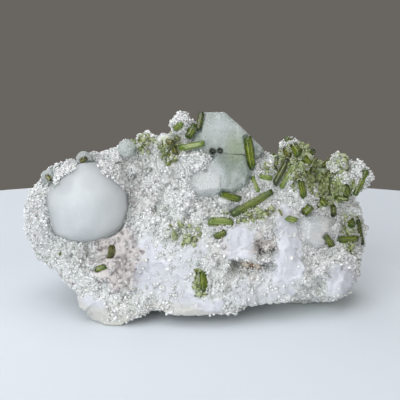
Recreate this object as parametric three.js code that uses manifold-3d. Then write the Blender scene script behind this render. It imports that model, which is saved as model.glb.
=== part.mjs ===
// Pollucite on matrix: clear to milky pollucite crystals and green tourmaline prisms on a
// lump of sugary white albite with pale lilac mica.
// Sizes are millimetres. +X runs to the right across the show face, +Y away from the
// viewer and +Z up. The origin is under the middle of the stone, where it rests.
import * as THREE from "three";
import { ConvexGeometry } from "three/addons/geometries/ConvexGeometry.js";
import { ImprovedNoise } from "three/addons/math/ImprovedNoise.js";
import { mergeVertices } from "three/addons/utils/BufferGeometryUtils.js";
import Module from "manifold-3d";

// Driving dimensions of the stone
const STONE = {
  frontFoot: -33, // y of the show face at the foot of the stone
  frontLean: 0.56, // how far the show face falls back for each mm of height
  frontCurve: 0.003, // how fast the show face turns back towards both ends, in 1/mm
  backFoot: 36,
  backLean: 0.14,
  backCurve: 0.0026,
  edgeRound: 11, // softness of the edge between the show face and the sides
  underside: 6.5, // clearance of the underside between the feet
  bumps: { size: 17, height: 2.4 },
  crumbs: { size: 7, height: 1.5 },
};
const GRID = 5.2; // spacing of the samples that the stone's skin is drawn from
const LOW = [-86, -50, -16]; // box that is sampled for the skin
const HIGH = [86, 52, 96];
const GAP = 0.3; // clearance between a crystal and the pocket it grew in
const THICK = 2.3; // width above which a prism has low facets at its end
const LEANING = new THREE.Vector3(0.3, 0.2, 1); // settles how a prism is turned on its axis

// Outline of the stone seen from the show side, as [x, z] from the left end, over the
// top, down the right end and back under the stone.
const HEART = [0, 36];
const OUTLINE = [
  [-74, 36], [-73, 48], [-66, 57], [-55, 62.5], [-43, 65], [-30, 69.5], [-15, 71.5],
  [4, 74], [20, 68.5], [31, 62], [45, 63], [58, 58], [70, 51], [76, 42], [76, 30],
  [72, 16], [62, 2], [56, -6], [0, -7], [-42, -6], [-52, 5], [-60, 14], [-68, 20],
  [-73, 28],
];

// Places where the underside dips: [x, y] of the middle, half-sizes and how far down. The
// three deep ones are the feet.
const FEET = [
  { at: [-41, -30], size: [13, 10], drop: 12 },
  { at: [44, 2], size: [17, 12], drop: 12 },
  { at: [-8, 22], size: [30, 12], drop: 12 },
  { at: [0, -32], size: [27, 12], drop: 2.4 }, // low bulge that stays clear
];

// Relief of the show face: [x, z] of the middle, half-sizes, and the rise towards the
// viewer. A negative rise is a scoop.
const RELIEF = [
  { at: [-44, 16], size: [34, 26], rise: 6 }, // full lower left corner
  { at: [-26, 25], size: [10, 14], rise: -4 }, // scooped fracture face
  { at: [-38, 24], size: [13, 12], rise: 2.5 }, // mica patch
  { at: [9, 14], size: [12, 15], rise: 6 }, // round bulge below the middle
  { at: [-2, 4], size: [18, 9], rise: 3 },
  { at: [26, 12], size: [16, 10], rise: 3.5 }, // shelf below the slot
  { at: [20, 31], size: [14, 9], rise: 4 }, // slab above the slot
  { at: [39, 25], size: [10, 20], rise: 5 }, // pillar right of the hollow
  { at: [60, 19], size: [14, 14], rise: 6 }, // right foot bulge
  { at: [-10, 45], size: [26, 16], rise: 2.5 },
  { at: [50, 52], size: [22, 14], rise: 5 },
];

// Knobs on the crest and ends of the stone: centre, half-sizes and how softly each one
// flows into the rest.
const KNOBS = [
  { at: [-66, 2, 38], size: [10, 15, 19], blend: 6 }, // shell round the left crystal
  { at: [-7, 10, 73.5], size: [6, 7, 7.5], blend: 2.5 }, // left of the top crystal
  { at: [-24, 9, 66.5], size: [6, 7, 6], blend: 3 },
  { at: [41.5, 4.5, 62.5], size: [8, 8.5, 8.5], blend: 2.5 },
  { at: [65.6, 3, 56], size: [9.6, 8.5, 9.4], blend: 2.5 },
];

// Angular lumps that make the knobs craggy: middle and half-sizes.
const LUMPS = [
  { at: [-7.4, 8, 77.6], radius: [4.6, 4.6, 5] },
  { at: [-14.5, 7, 69.5], radius: [4.6, 4.6, 4.4] },
  { at: [-22.6, 7, 69.8], radius: [4.4, 4.4, 4] },
  { at: [44.4, 2.4, 64.4], radius: [4.8, 5, 4.8] },
  { at: [38.8, 3.6, 67.2], radius: [4.4, 4.4, 4.8] },
  { at: [60.4, 2, 61.4], radius: [4.8, 4.8, 4.6] },
  { at: [69.6, 1.4, 55.6], radius: [4.6, 4.8, 5] },
  { at: [-1, -0.4, 63.4], radius: [6.2, 3, 4.2] }, // wedge below the top crystal
  { at: [-60.6, 5, 56.8], radius: [4.2, 4.2, 4] }, // rim of the left crystal
  { at: [-55.6, 5, 58.8], radius: [4, 4, 4] },
  { at: [-46.5, 6.5, 61.2], radius: [5, 5, 4.2] },
];

// Hollows of the show face: [x, z], half-sizes across, in depth and in height, and how
// softly the rim is rounded. Each one is centred on the face.
const HOLLOWS = [
  { at: [-47, 28.5], size: [16, 6, 2.6], blend: 2 }, // crease below the left crystal
  { at: [54.5, 53], size: [3.2, 9, 6.5], blend: 2 }, // gap between the two knobs
];

// Large flat breaks that bound the stone at its back and ends, as [normal, distance from
// the middle].
const CLEAVED = {
  at: [0, 0, 38],
  faces: [
    [[-0.12, 0.97, 0.2], 29.5],
    [[-0.55, 0.8, 0.25], 47],
    [[0.5, 0.84, 0.1], 42.5],
    [[0.2, 0.85, -0.5], 44.5],
    [[-0.35, 0.8, -0.5], 48],
    [[0.1, 0.8, 0.6], 38.5],
    [[0, -1, 0], 90],
    [[1, 0, 0], 120],
    [[-1, 0, 0], 120],
    [[0, 0, 1], 120],
    [[0, 0, -1], 120],
  ],
};

// Breaks with flat walls: a step at the back, and a slot and a hollow in the show face.
// Each wall is [normal, distance from the middle].
const BREAKS = {
  back_step: {
    at: [26, 34, 40],
    faces: [
      [[0, -1, 0.15], 9],
      [[-0.8, -0.2, 0.3], 14],
      [[0.2, -0.2, -1], 12],
      [[0, 1, 0], 20],
      [[1, 0, 0.1], 40],
      [[0, 0.1, 1], 60],
    ],
  },
  slot: {
    at: [23.5, -20, 22],
    faces: [
      [[0.1, 0.2, 1], 2.6],
      [[-0.05, 0.25, -1], 2.4],
      [[1, 0.1, -0.1], 10],
      [[-1, 0.3, 0], 10],
      [[0, -1, 0], 20],
      [[0.1, 1, 0], 7],
      [[0.7, 0, 0.7], 8.6],
    ],
  },
  hollow: {
    at: [28.5, -16, 30.5],
    faces: [
      [[0.1, 0.1, 1], 3.2],
      [[-0.5, 0, 0.85], 4],
      [[0, 0.1, -1], 5],
      [[1, 0.15, 0.1], 4.6],
      [[-1, 0.15, -0.25], 4.8],
      [[0, -1, 0], 20],
      [[0, 1, 0.1], 8],
    ],
  },
};

// Unit normals of the faces of cubic crystals: every order and sign of one set of indices.
function cubicForm(indices) {
  const orders = [[0, 1, 2], [0, 2, 1], [1, 0, 2], [1, 2, 0], [2, 0, 1], [2, 1, 0]];
  const found = new Map();
  for (const order of orders)
    for (let signs = 0; signs < 8; signs++) {
      const turned = order.map((n, axis) => indices[n] * ((signs >> axis) & 1 ? -1 : 1) || 0);
      found.set(turned.join(), new THREE.Vector3(...turned).normalize());
    }
  return [...found.values()];
}
const FORMS = {
  cube: cubicForm([1, 0, 0]),
  dodecahedron: cubicForm([1, 1, 0]),
  trapezohedron: cubicForm([2, 1, 1]),
};

// Rounded crystals: half-sizes, the turn about x, y and z in degrees, and how far out the
// faces of each form lie, as a share of the half-size.
const ROUNDED = {
  pollucite_left: {
    at: [-47, -1.5, 45.8],
    radius: [17.8, 18, 17.3],
    turn: [-30, 0, -12],
    forms: { cube: 0.93, trapezohedron: 0.985 },
  },
  pollucite_crest_small: {
    at: [-31.2, 3, 68.2],
    radius: [4, 4, 3.8],
    turn: [20, 10, 35],
    forms: { cube: 0.95, dodecahedron: 0.9 },
  },
  pollucite_rim_upper: {
    at: [-49.4, 1, 63.8],
    radius: [3.6, 3.6, 3.2],
    turn: [5, 30, 10],
    forms: { cube: 0.95, dodecahedron: 0.9 },
  },
  pollucite_rim_lower: {
    at: [-65, 1, 56],
    radius: [3.2, 3.2, 3.2],
    turn: [40, 5, 15],
    forms: { cube: 0.95, dodecahedron: 0.9 },
  },
  pollucite_chip: {
    at: [14.5, -6, 44],
    radius: [3, 3, 2.4],
    turn: [25, 15, 20],
    forms: { cube: 0.95, dodecahedron: 0.9 },
  },
};

// Crystals with a few large faces. Each face is [normal, distance from the middle].
const BLOCKY = {
  pollucite_top: {
    at: [11, 9, 70],
    faces: [
      [[0, 0.4, 0.92], 11.6], // top
      [[0.68, 0.28, 0.68], 8.6], // long slope at the right
      [[-0.95, -0.12, 0.28], 13.2], // left side
      [[-0.04, -0.9, 0.44], 6], // show face
      [[0.5, -0.72, 0.48], 9.6],
      [[-0.5, -0.78, 0.36], 9.6],
      [[0, 1, 0.2], 12],
      [[-0.6, 0.75, 0.28], 12.6],
      [[0.7, 0.7, -0.15], 14.4],
      [[0.9, -0.3, -0.3], 16.5],
      [[0.05, -0.6, -0.8], 8.4], // under the show face
      [[0, 0, -1], 12],
    ],
  },
  centre_clear: {
    at: [12.6, 0.5, 57.5],
    faces: [
      [[0.05, -0.86, 0.5], 5],
      [[0.1, -0.35, 0.93], 8.6],
      [[-0.55, -0.4, 0.73], 9.2],
      [[0.7, -0.5, 0.5], 8.6],
      [[0.88, -0.45, -0.12], 8.8],
      [[0.5, -0.7, -0.5], 8.2],
      [[-0.1, -0.75, -0.65], 8.6],
      [[-0.9, -0.4, 0.1], 10],
      [[0, 1, 0], 8],
      [[0, 0.3, -1], 9],
      [[1, 0.4, 0.3], 10],
    ],
  },
  centre_milky: {
    at: [3.2, -1, 54],
    faces: [
      [[-0.08, -0.84, 0.54], 6.4],
      [[0.97, -0.2, 0.1], 7],
      [[0.1, -0.2, 0.97], 6.2],
      [[-0.7, -0.45, 0.55], 6.6],
      [[-0.85, -0.5, -0.2], 7],
      [[0.1, -0.75, -0.65], 6.4],
      [[0, 1, 0], 7],
      [[0, 0.2, -1], 7],
      [[-0.6, 0.6, -0.3], 8],
    ],
  },
  quartz_right: {
    at: [48.8, -5.4, 32.2],
    faces: [
      [[0.25, -0.86, 0.45], 6.5],
      [[-0.55, -0.72, 0.42], 7.2],
      [[0.75, -0.55, 0.3], 8],
      [[-0.3, -0.86, -0.4], 7],
      [[0.5, -0.75, -0.45], 7.6],
      [[0.15, -0.35, 0.92], 7.4],
      [[-0.5, -0.2, 0.85], 8.4],
      [[-0.3, -0.45, -0.84], 7.8],
      [[-1, 0, 0], 8.6],
      [[1, 0, -0.2], 8.8],
      [[0, 1, 0], 6],
      [[0, 0, -1], 8.4],
      [[0.3, 0.2, 1], 8.6],
    ],
  },
};

// Which of those crystals have grown into one body.
const GROUPS = {
  pollucite_top: { finish: "pollucite", members: ["pollucite_top"] },
  pollucite_centre: { finish: "pollucite", members: ["centre_clear", "centre_milky"] },
  quartz_right: { finish: "quartz", members: ["quartz_right"] },
};

// Small crystals that line the two hollows, each one crust: middles and length.
const CRUSTS = {
  cavity_crust: {
    length: 5.4,
    middles: [[26, -9.5, 31], [29, -9, 33], [31, -9.2, 30.2], [28.4, -10, 28.2]],
  },
  slot_crust: { length: 4.6, middles: [[20.4, -14, 21.4], [22.6, -13.6, 22.8], [24.2, -13.8, 21]] },
};

// Tourmaline prisms: both ends of the axis and the width across. The second end is the one
// with a low point.
const TOURMALINES = {
  crest_dark: { from: [-0.6, 6.2, 75], to: [1.2, 8, 83.2], width: 2.6 },
  crest_bright: { from: [-5.2, 4.4, 72.2], to: [-1.6, 5.2, 78], width: 3 },
  crest_lying: { from: [-8.8, 2.2, 68.3], to: [2.3, 1, 70.9], width: 2.5 },
  crest_round_a: { from: [-14.1, 2.6, 71.5], to: [-10.7, 1, 71], width: 2.4 },
  crest_round_b: { from: [-10.5, 3.4, 69], to: [-9.4, 0.6, 66.2], width: 2.6 },
  knob_pale: { from: [-10.3, 5.4, 76], to: [-7.5, 2, 79.3], width: 2.2 },
  top_upright: { from: [22.8, 0.6, 59.6], to: [20.6, 3.8, 73.4], width: 3.3 },
  black_left: { from: [5.4, 3.4, 66.8], to: [6.2, -0.4, 67.6], width: 2 },
  black_right: { from: [8.7, 3.4, 67.2], to: [9.1, -0.1, 67.9], width: 1.7 },
  saddle_thin: { from: [33, 0.6, 59.4], to: [33.4, 1.8, 65.2], width: 1.8 },
  fan_dark: { from: [31.9, -2.8, 53.4], to: [37.8, -2, 64.8], width: 2.6 },
  fan_pale: { from: [35, -2.6, 52.2], to: [40, -3, 62.6], width: 1.9 },
  longest: { from: [31.2, -4, 50.8], to: [13.8, -9.8, 42.4], width: 2.8 },
  fan_cross: { from: [31.2, -1.2, 56.1], to: [25.8, -1.2, 57], width: 1.8 },
  fan_streak: { from: [22.6, -0.8, 56.8], to: [25.2, -3.6, 50.6], width: 1.5 },
  below_fan: { from: [43, -1.6, 56.4], to: [45, -3.4, 48], width: 2.2 },
  knob_one_block: { from: [39.8, 1, 70.6], to: [42.6, -2.8, 66.8], width: 3.2 },
  knob_one_left: { from: [36, 1.6, 68.6], to: [38.6, -1.8, 65.8], width: 1.9 },
  knob_one_right: { from: [44.2, -2.2, 66], to: [47.4, -2.6, 62.6], width: 2.2 },
  knob_one_top: { from: [39.4, 3.6, 71.2], to: [36.8, 3, 72.8], width: 1.8 },
  knob_one_edge: { from: [48.7, 1, 66.4], to: [48.4, 0, 68.8], width: 2 },
  knob_two_right: { from: [66.6, -3.6, 49], to: [71.7, -1.4, 59.9], width: 2.4 },
  knob_two_olive: { from: [53.6, 5.4, 59.1], to: [56.8, 2.6, 64.1], width: 2.2 },
  knob_two_left: { from: [55.4, 4, 59], to: [59.1, -0.8, 58], width: 2.1 },
  gap_dark: { from: [57.2, 2.6, 47], to: [57, 2.2, 55.2], width: 1.8 },
  knob_two_front: { from: [64, -2.4, 49.2], to: [62, -5, 54.4], width: 2.2 },
  knob_two_low: { from: [58.4, 0.2, 47.2], to: [64.4, -1.4, 46.6], width: 2.2 },
  below_knobs: { from: [52.2, 0.2, 46.6], to: [54.8, -2, 43.6], width: 1.8 },
  right_block: { from: [44.8, -4.2, 41], to: [48.3, -5.2, 45], width: 3.3 },
  right_dark: { from: [58.2, 0.6, 43.6], to: [58.2, -2, 39.2], width: 2.1 },
  right_stub: { from: [66, 3, 35.4], to: [66.4, -1.8, 34.8], width: 2.8 },
  right_rounded: { from: [57, -9, 28], to: [53.7, -11, 33.6], width: 2.6 },
  right_lying: { from: [59.4, -7, 30.2], to: [69.4, -3, 29.2], width: 2.2 },
  edge_upright: { from: [71.6, -0.6, 25.4], to: [69.2, 1.4, 36.6], width: 1.6 },
  middle_thick: { from: [14.2, -11.2, 39.7], to: [3.8, -11.8, 40.4], width: 3.2 },
  middle_taper: { from: [17.6, -6.2, 48], to: [8.8, -6.4, 50.6], width: 2.6 },
  middle_short: { from: [11.2, -14, 36], to: [6.4, -15, 34.2], width: 2.2 },
  pillar_pale: { from: [37, -9, 40.8], to: [41.6, -9.4, 39.4], width: 2.6 },
  pit_bright: { from: [1.6, -22, 21], to: [2, -27.4, 14.8], width: 2.6 },
  mica_round: { from: [-37.2, -12, 28.4], to: [-37.6, -18.8, 26.8], width: 2.6 },
  mica_lying: { from: [-43.6, -21.8, 22], to: [-39.4, -22.2, 24.2], width: 2.2 },
  rim_green: { from: [-50.6, -1.4, 63.5], to: [-48, -2, 65.2], width: 2.2 },
  rim_small: { from: [-65.3, -1.8, 57.8], to: [-63.5, -3.2, 55.3], width: 1.9 },
};

// Little feldspar crystals grown out of the stone: the middle of a patch of the show face
// as [x, z], its half-sizes, how many there are and how long they are.
const PATCHES = [
  { at: [-22, 63], size: [16, 6], count: 6, length: 6 },
  { at: [-12, 48], size: [14, 8], count: 4, length: 5 },
  { at: [44, 60], size: [9, 8], count: 3, length: 5 },
  { at: [64, 56], size: [6, 6], count: 2, length: 4.6 },
  { at: [62, 38], size: [7, 7], count: 2, length: 5 },
  { at: [50, 17], size: [11, 6], count: 3, length: 5 },
  { at: [9, 24], size: [6, 4], count: 2, length: 5 },
  { at: [-58, 22], size: [8, 8], count: 4, length: 5.5 },
];

const noise = new ImprovedNoise();
const wasm = await Module();
wasm.setup();

// Softened larger and smaller of two values.
function softMax(a, b, soft) {
  const share = Math.max(soft - Math.abs(a - b), 0) / soft;
  return Math.max(a, b) + (share * share * soft) / 4;
}
const softMin = (a, b, soft) => -softMax(-a, -b, soft);

// Distance of the outline from the heart of the stone, at an angle in radians.
const outlinePolar = OUTLINE.map(([x, z]) => {
  const [dx, dz] = [x - HEART[0], z - HEART[1]];
  return { angle: Math.atan2(dz, dx), reach: Math.hypot(dx, dz) };
}).sort((a, b) => a.angle - b.angle);

function outlineReach(angle) {
  const count = outlinePolar.length;
  let next = outlinePolar.findIndex((p) => p.angle > angle);
  if (next < 0) next = 0;
  const a = outlinePolar[(next + count - 1) % count];
  const b = outlinePolar[next];
  const turn = 2 * Math.PI;
  const span = (b.angle - a.angle + turn) % turn;
  const share = ((angle - a.angle + turn) % turn) / span;
  return a.reach + (b.reach - a.reach) * share;
}

// y of the show face, before knobs and hollows.
function showFace(x, z) {
  let y = STONE.frontFoot + STONE.frontLean * z + STONE.frontCurve * x * x;
  for (const { at, size, rise } of RELIEF) {
    const reach = ((x - at[0]) / size[0]) ** 2 + ((z - at[1]) / size[1]) ** 2;
    y -= rise * Math.max(1 - reach, 0) ** 1.5;
  }
  return y;
}

// Height of the underside. It dips below the level that the stone rests on at the feet.
function underside(x, y) {
  let z = STONE.underside;
  for (const { at, size, drop } of FEET) {
    const reach = ((x - at[0]) / size[0]) ** 2 + ((y - at[1]) / size[1]) ** 2;
    z -= drop * Math.exp(-reach);
  }
  return z;
}

// Rough distance to an egg-shaped surface, negative inside.
function eggDistance(at, size, x, y, z) {
  const reach = Math.hypot((x - at[0]) / size[0], (y - at[1]) / size[1], (z - at[2]) / size[2]);
  return (reach - 1) * Math.min(...size);
}

// Rough distance to the stone's surface, negative inside.
function stoneDistance(x, y, z) {
  const [dx, dz] = [x - HEART[0], z - HEART[1]];
  const side = Math.hypot(dx, dz) - outlineReach(Math.atan2(dz, dx));
  const front = 0.88 * (showFace(x, z) - y);
  const back = 0.95 * (y - (STONE.backFoot - STONE.backLean * z - STONE.backCurve * x * x));
  let d = softMax(side, front, STONE.edgeRound);
  d = softMax(d, back, STONE.edgeRound);
  d = softMax(d, underside(x, y) - z, 4);
  for (const { at, size, blend } of KNOBS) {
    d = softMin(d, eggDistance(at, size, x, y, z), blend);
  }
  for (const { at, size, blend } of HOLLOWS) {
    const middle = [at[0], showFace(...at), at[1]];
    d = softMax(d, -eggDistance(middle, size, x, y, z), blend);
  }
  for (const { size, height } of [STONE.bumps, STONE.crumbs]) {
    d += height * noise.noise(x / size + 7.3, y / size + 1.7, z / size + 4.1);
  }
  return d;
}

// Samples a distance on a grid. Where lumps would meet only along an edge or at a corner,
// the corner between them is filled, so that the skin drawn round them closes on itself.
function sampleGrid(distance, low, high, step) {
  const counts = low.map((v, axis) => Math.ceil((high[axis] - v) / step) + 1);
  const index = (i, j, k) => (k * counts[1] + j) * counts[0] + i;
  const values = new Float64Array(counts[0] * counts[1] * counts[2]);
  for (let k = 0; k < counts[2]; k++)
    for (let j = 0; j < counts[1]; j++)
      for (let i = 0; i < counts[0]; i++)
        values[index(i, j, k)] = distance(low[0] + i * step, low[1] + j * step, low[2] + k * step);
  const corners = [...Array(8).keys()].map((c) => [c & 1, (c >> 1) & 1, (c >> 2) & 1]);
  const joined = (set) => {
    if (set.length < 2) return true;
    const reached = [set[0]];
    for (const c of reached)
      for (const bit of [1, 2, 4])
        if (set.includes(c ^ bit) && !reached.includes(c ^ bit)) reached.push(c ^ bit);
    return reached.length === set.length;
  };
  const faces = [1, 2, 4].flatMap((bit) => [0, bit].map((side) => (c) => (c & bit) === side));
  const plain = (inside, outside) =>
    joined(inside) &&
    joined(outside) &&
    faces.every((on) => joined(inside.filter(on)) && joined(outside.filter(on)));
  for (let changed = true; changed; ) {
    changed = false;
    for (let k = 0; k < counts[2] - 1; k++)
      for (let j = 0; j < counts[1] - 1; j++)
        for (let i = 0; i < counts[0] - 1; i++) {
          const at = corners.map(([a, b, c]) => index(i + a, j + b, k + c));
          const inside = [...at.keys()].filter((c) => values[at[c]] < 0);
          const outside = [...at.keys()].filter((c) => values[at[c]] >= 0);
          if (!inside.length || !outside.length || plain(inside, outside)) continue;
          const nearest = outside.reduce((a, b) => (values[at[a]] < values[at[b]] ? a : b));
          values[at[nearest]] = -0.05 * step;
          changed = true;
        }
  }
  return { counts, index, values, corners };
}

// Skin round where a distance is negative: one vertex in each grid cell that the surface
// crosses, and one pair of triangles across each grid edge that it crosses.
function skinOf(distance, low, high, step) {
  const { counts, index, values, corners } = sampleGrid(distance, low, high, step);
  const positions = [];
  const vertexOf = new Map();
  const cellVertex = (i, j, k) => {
    const key = index(i, j, k);
    if (vertexOf.has(key)) return vertexOf.get(key);
    const sum = [0, 0, 0];
    let crossings = 0;
    for (let c = 0; c < 8; c++)
      for (const bit of [1, 2, 4]) {
        if (c & bit) continue;
        const [a, b] = [corners[c], corners[c | bit]];
        const va = values[index(i + a[0], j + a[1], k + a[2])];
        const vb = values[index(i + b[0], j + b[1], k + b[2])];
        if (va < 0 === vb < 0) continue;
        const share = va / (va - vb);
        for (const axis of [0, 1, 2]) sum[axis] += a[axis] + share * (b[axis] - a[axis]);
        crossings++;
      }
    [i, j, k].forEach((n, axis) => {
      positions.push(low[axis] + (n + sum[axis] / crossings) * step);
    });
    vertexOf.set(key, positions.length / 3 - 1);
    return positions.length / 3 - 1;
  };
  const triangles = [];
  for (let k = 1; k < counts[2] - 1; k++)
    for (let j = 1; j < counts[1] - 1; j++)
      for (let i = 1; i < counts[0] - 1; i++)
        for (const axis of [0, 1, 2]) {
          const here = [i, j, k];
          const there = [...here];
          there[axis]++;
          const [insideHere, insideThere] = [here, there].map((p) => values[index(...p)] < 0);
          if (insideHere === insideThere) continue;
          const [u, v] = [(axis + 1) % 3, (axis + 2) % 3];
          const ring = [[0, 0], [-1, 0], [-1, -1], [0, -1]].map(([a, b]) => {
            const cell = [...here];
            cell[u] += a;
            cell[v] += b;
            return cellVertex(...cell);
          });
          if (!insideHere) ring.reverse();
          triangles.push(ring[0], ring[1], ring[2], ring[0], ring[2], ring[3]);
        }
  const skin = new THREE.BufferGeometry();
  skin.setAttribute("position", new THREE.Float32BufferAttribute(positions, 3));
  skin.setIndex(triangles);
  return skin;
}

// Closed geometry as a solid for joining and cutting.
function solidOf(geometry) {
  const bare = geometry.clone();
  bare.deleteAttribute("normal");
  bare.deleteAttribute("uv");
  const merged = mergeVertices(bare, 1e-3);
  return new wasm.Manifold(
    new wasm.Mesh({
      numProp: 3,
      vertProperties: merged.attributes.position.array,
      triVerts: new Uint32Array(merged.index.array),
    }),
  );
}

function geometryOf(solid) {
  const mesh = solid.getMesh();
  const geometry = new THREE.BufferGeometry();
  geometry.setAttribute("position", new THREE.BufferAttribute(mesh.vertProperties, 3));
  geometry.setIndex(new THREE.BufferAttribute(mesh.triVerts, 1));
  geometry.computeVertexNormals();
  return geometry;
}

const largestBody = (solid) => solid.decompose().sort((a, b) => b.volume() - a.volume())[0];

// Convex body inside a list of planes, each moved outwards by grow.
function bodyInside(planes, grow = 0) {
  const corners = [];
  const solve = new THREE.Matrix3();
  for (let a = 0; a < planes.length; a++)
    for (let b = a + 1; b < planes.length; b++)
      for (let c = b + 1; c < planes.length; c++) {
        const three = [planes[a], planes[b], planes[c]];
        solve.set(...three.flatMap((p) => p.normal.toArray()));
        if (Math.abs(solve.determinant()) < 1e-4) continue;
        const reach = three.map((p) => p.reach + grow);
        const corner = new THREE.Vector3(...reach).applyMatrix3(solve.invert());
        const within = planes.every((p) => p.normal.dot(corner) < p.reach + grow + 1e-6);
        if (within && corners.every((other) => other.distanceTo(corner) > 0.05)) {
          corners.push(corner);
        }
      }
  return solidOf(new ConvexGeometry(corners));
}

// Plane of a crystal face at a distance from the crystal's middle.
function facePlane(middle, normal, distance) {
  const unit = normal.clone().normalize();
  return { normal: unit, reach: unit.dot(middle) + distance };
}

// Planes of a rounded cubic crystal. Each face lies a little nearer or farther than its
// twins, as it does on a real crystal.
function cubicPlanes({ at, radius, turn, forms }) {
  const middle = new THREE.Vector3(...at);
  const angles = turn.map(THREE.MathUtils.degToRad);
  const rotation = new THREE.Euler(...angles);
  const stretch = new THREE.Vector3(...radius);
  const planes = [];
  for (const [form, share] of Object.entries(forms)) {
    FORMS[form].forEach((normal, n) => {
      const turned = normal.clone().applyEuler(rotation);
      const reach = turned.clone().multiply(stretch).length();
      const wander = 1 + 0.03 * Math.sin(5.1 * n + at[0]);
      planes.push(facePlane(middle, turned, reach * share * wander));
    });
  }
  return planes;
}

const blockyPlanes = ({ at, faces }) =>
  faces.map(([normal, distance]) =>
    facePlane(new THREE.Vector3(...at), new THREE.Vector3(...normal), distance),
  );

const FINISHES = {
  albite: { color: 0xe4e6e3, roughness: 0.75 },
  pollucite: { color: 0xc9d2d6, roughness: 0.3 },
  quartz: { color: 0xcdd5dc, roughness: 0.25 },
  stained: { color: 0x8d8378, roughness: 0.5 },
  tourmaline: { color: 0x6b8f22, roughness: 0.2 },
};

// Planes of a tourmaline prism: three wide and three narrow sides, a flat end, and on a
// thick prism an end with three low facets.
function prismPlanes({ from, to, width }) {
  const [start, end] = [new THREE.Vector3(...from), new THREE.Vector3(...to)];
  const along = end.clone().sub(start).normalize();
  const across = LEANING.clone().cross(along).normalize();
  const planes = [facePlane(end, along, 0), facePlane(start, along.clone().negate(), 0)];
  for (let side = 0; side < 6; side++) {
    const normal = across.clone().applyAxisAngle(along, (side * Math.PI) / 3);
    const narrow = side % 2;
    planes.push(facePlane(start, normal, width * (narrow ? 0.5 : 0.43)));
    if (narrow && width > THICK) {
      planes.push(facePlane(end, normal.add(along), width * 0.22));
    }
  }
  return planes;
}

// Planes of the four-sided pocket that a prism sits in.
function slotPlanes({ from, to, width }) {
  const [start, end] = [new THREE.Vector3(...from), new THREE.Vector3(...to)];
  const along = end.clone().sub(start).normalize();
  const planes = [facePlane(end, along, 0), facePlane(start, along.clone().negate(), 0)];
  const across = LEANING.clone().cross(along).normalize();
  for (let side = 0; side < 4; side++) {
    const normal = across.clone().applyAxisAngle(along, (side * Math.PI) / 2);
    planes.push(facePlane(start, normal, width * 0.5));
  }
  return planes;
}

// Planes of a small block of feldspar with a slanted end.
function blockPlanes(middle, length, turn) {
  const rotation = new THREE.Euler(...turn);
  const faces = [
    [[1, 0, 0], 0.5], [[-1, 0, 0], 0.5], [[0, 1, 0.2], 0.34], [[0, -1, -0.2], 0.34],
    [[0.4, 0.3, 1], 0.42], [[-0.2, 0.2, -1], 0.42],
  ];
  return faces.map(([normal, share]) =>
    facePlane(middle, new THREE.Vector3(...normal).applyEuler(rotation), share * length),
  );
}

// Grows the feldspar patches on the stone, each crystal about half sunk in its surface.
function growPatches(bare) {
  const skin = new THREE.Mesh(geometryOf(bare));
  const towards = new THREE.Vector3(0, 1, 0);
  const random = THREE.MathUtils.seededRandom;
  random(11);
  let grownStone = bare;
  for (const { at, size, count, length } of PATCHES)
    for (let n = 0; n < count; n++) {
      const [angle, reach] = [2 * Math.PI * random(), Math.sqrt(random())];
      const x = at[0] + size[0] * reach * Math.cos(angle);
      const z = at[1] + size[1] * reach * Math.sin(angle);
      const turn = [3 * random(), 3 * random(), 3 * random()];
      const long = length * (0.8 + 0.5 * random());
      const [hit] = new THREE.Raycaster(new THREE.Vector3(x, LOW[1], z), towards).intersectObject(skin);
      if (hit) grownStone = grownStone.add(bodyInside(blockPlanes(hit.point, long, turn)));
    }
  return largestBody(grownStone);
}

const convex = (planes) => ({ body: bodyInside(planes), pocket: bodyInside(planes, GAP) });

function joinedOf(parts) {
  const [first, ...others] = parts;
  return others.reduce(
    (sum, part) => ({ body: sum.body.add(part.body), pocket: sum.pocket.add(part.pocket) }),
    first,
  );
}

// Everything that grew in the stone, the earliest first: a later crystal gives way to it.
const crystals = [];
for (const [name, prism] of Object.entries(TOURMALINES)) {
  const finish = "tourmaline";
  const body = bodyInside(prismPlanes(prism));
  const pocket = bodyInside(slotPlanes(prism), GAP);
  crystals.push({ name: `tourmaline_${name}`, finish, body, pocket });
}
for (const [name, crystal] of Object.entries(ROUNDED)) {
  crystals.push({ name, finish: "pollucite", ...convex(cubicPlanes(crystal)) });
}
for (const [name, { finish, members }] of Object.entries(GROUPS)) {
  const parts = members.map((member) => convex(blockyPlanes(BLOCKY[member])));
  crystals.push({ name, finish, ...joinedOf(parts) });
}
for (const [name, { length, middles }] of Object.entries(CRUSTS)) {
  const parts = middles.map((at, n) =>
    convex(blockPlanes(new THREE.Vector3(...at), length, [0.7 * n, 1.2 * n, 0.4 * n])),
  );
  crystals.push({ name, finish: "stained", ...joinedOf(parts) });
}

let stone = solidOf(skinOf(stoneDistance, LOW, HIGH, GRID));
stone = stone.intersect(bodyInside(blockyPlanes(CLEAVED)));
LUMPS.forEach(({ at, radius }, n) => {
  const lump = { at, radius, turn: [50 * n, 35 * n, 20 * n], forms: { dodecahedron: 0.92 } };
  stone = stone.add(bodyInside(cubicPlanes(lump)));
});
for (const broken of Object.values(BREAKS)) stone = stone.subtract(bodyInside(blockyPlanes(broken)));
stone = growPatches(stone);

// The stone rests on the patches where this level cut meets its feet.
const below = new THREE.BoxGeometry(200, 200, 40);
below.translate(0, 0, -20);
stone = stone.subtract(solidOf(below));

const grownTogether = new THREE.Group();

function addPiece(name, solid, finish) {
  const material = new THREE.MeshStandardMaterial({ ...FINISHES[finish], metalness: 0 });
  const mesh = new THREE.Mesh(geometryOf(solid), material);
  mesh.name = name;
  grownTogether.add(mesh);
}

crystals.forEach(({ name, finish, body, pocket }, n) => {
  const left = crystals.slice(0, n).reduce((rest, earlier) => rest.subtract(earlier.pocket), body);
  addPiece(name, largestBody(left), finish);
  stone = stone.subtract(pocket);
});
addPiece("matrix", largestBody(stone), "albite");

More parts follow.
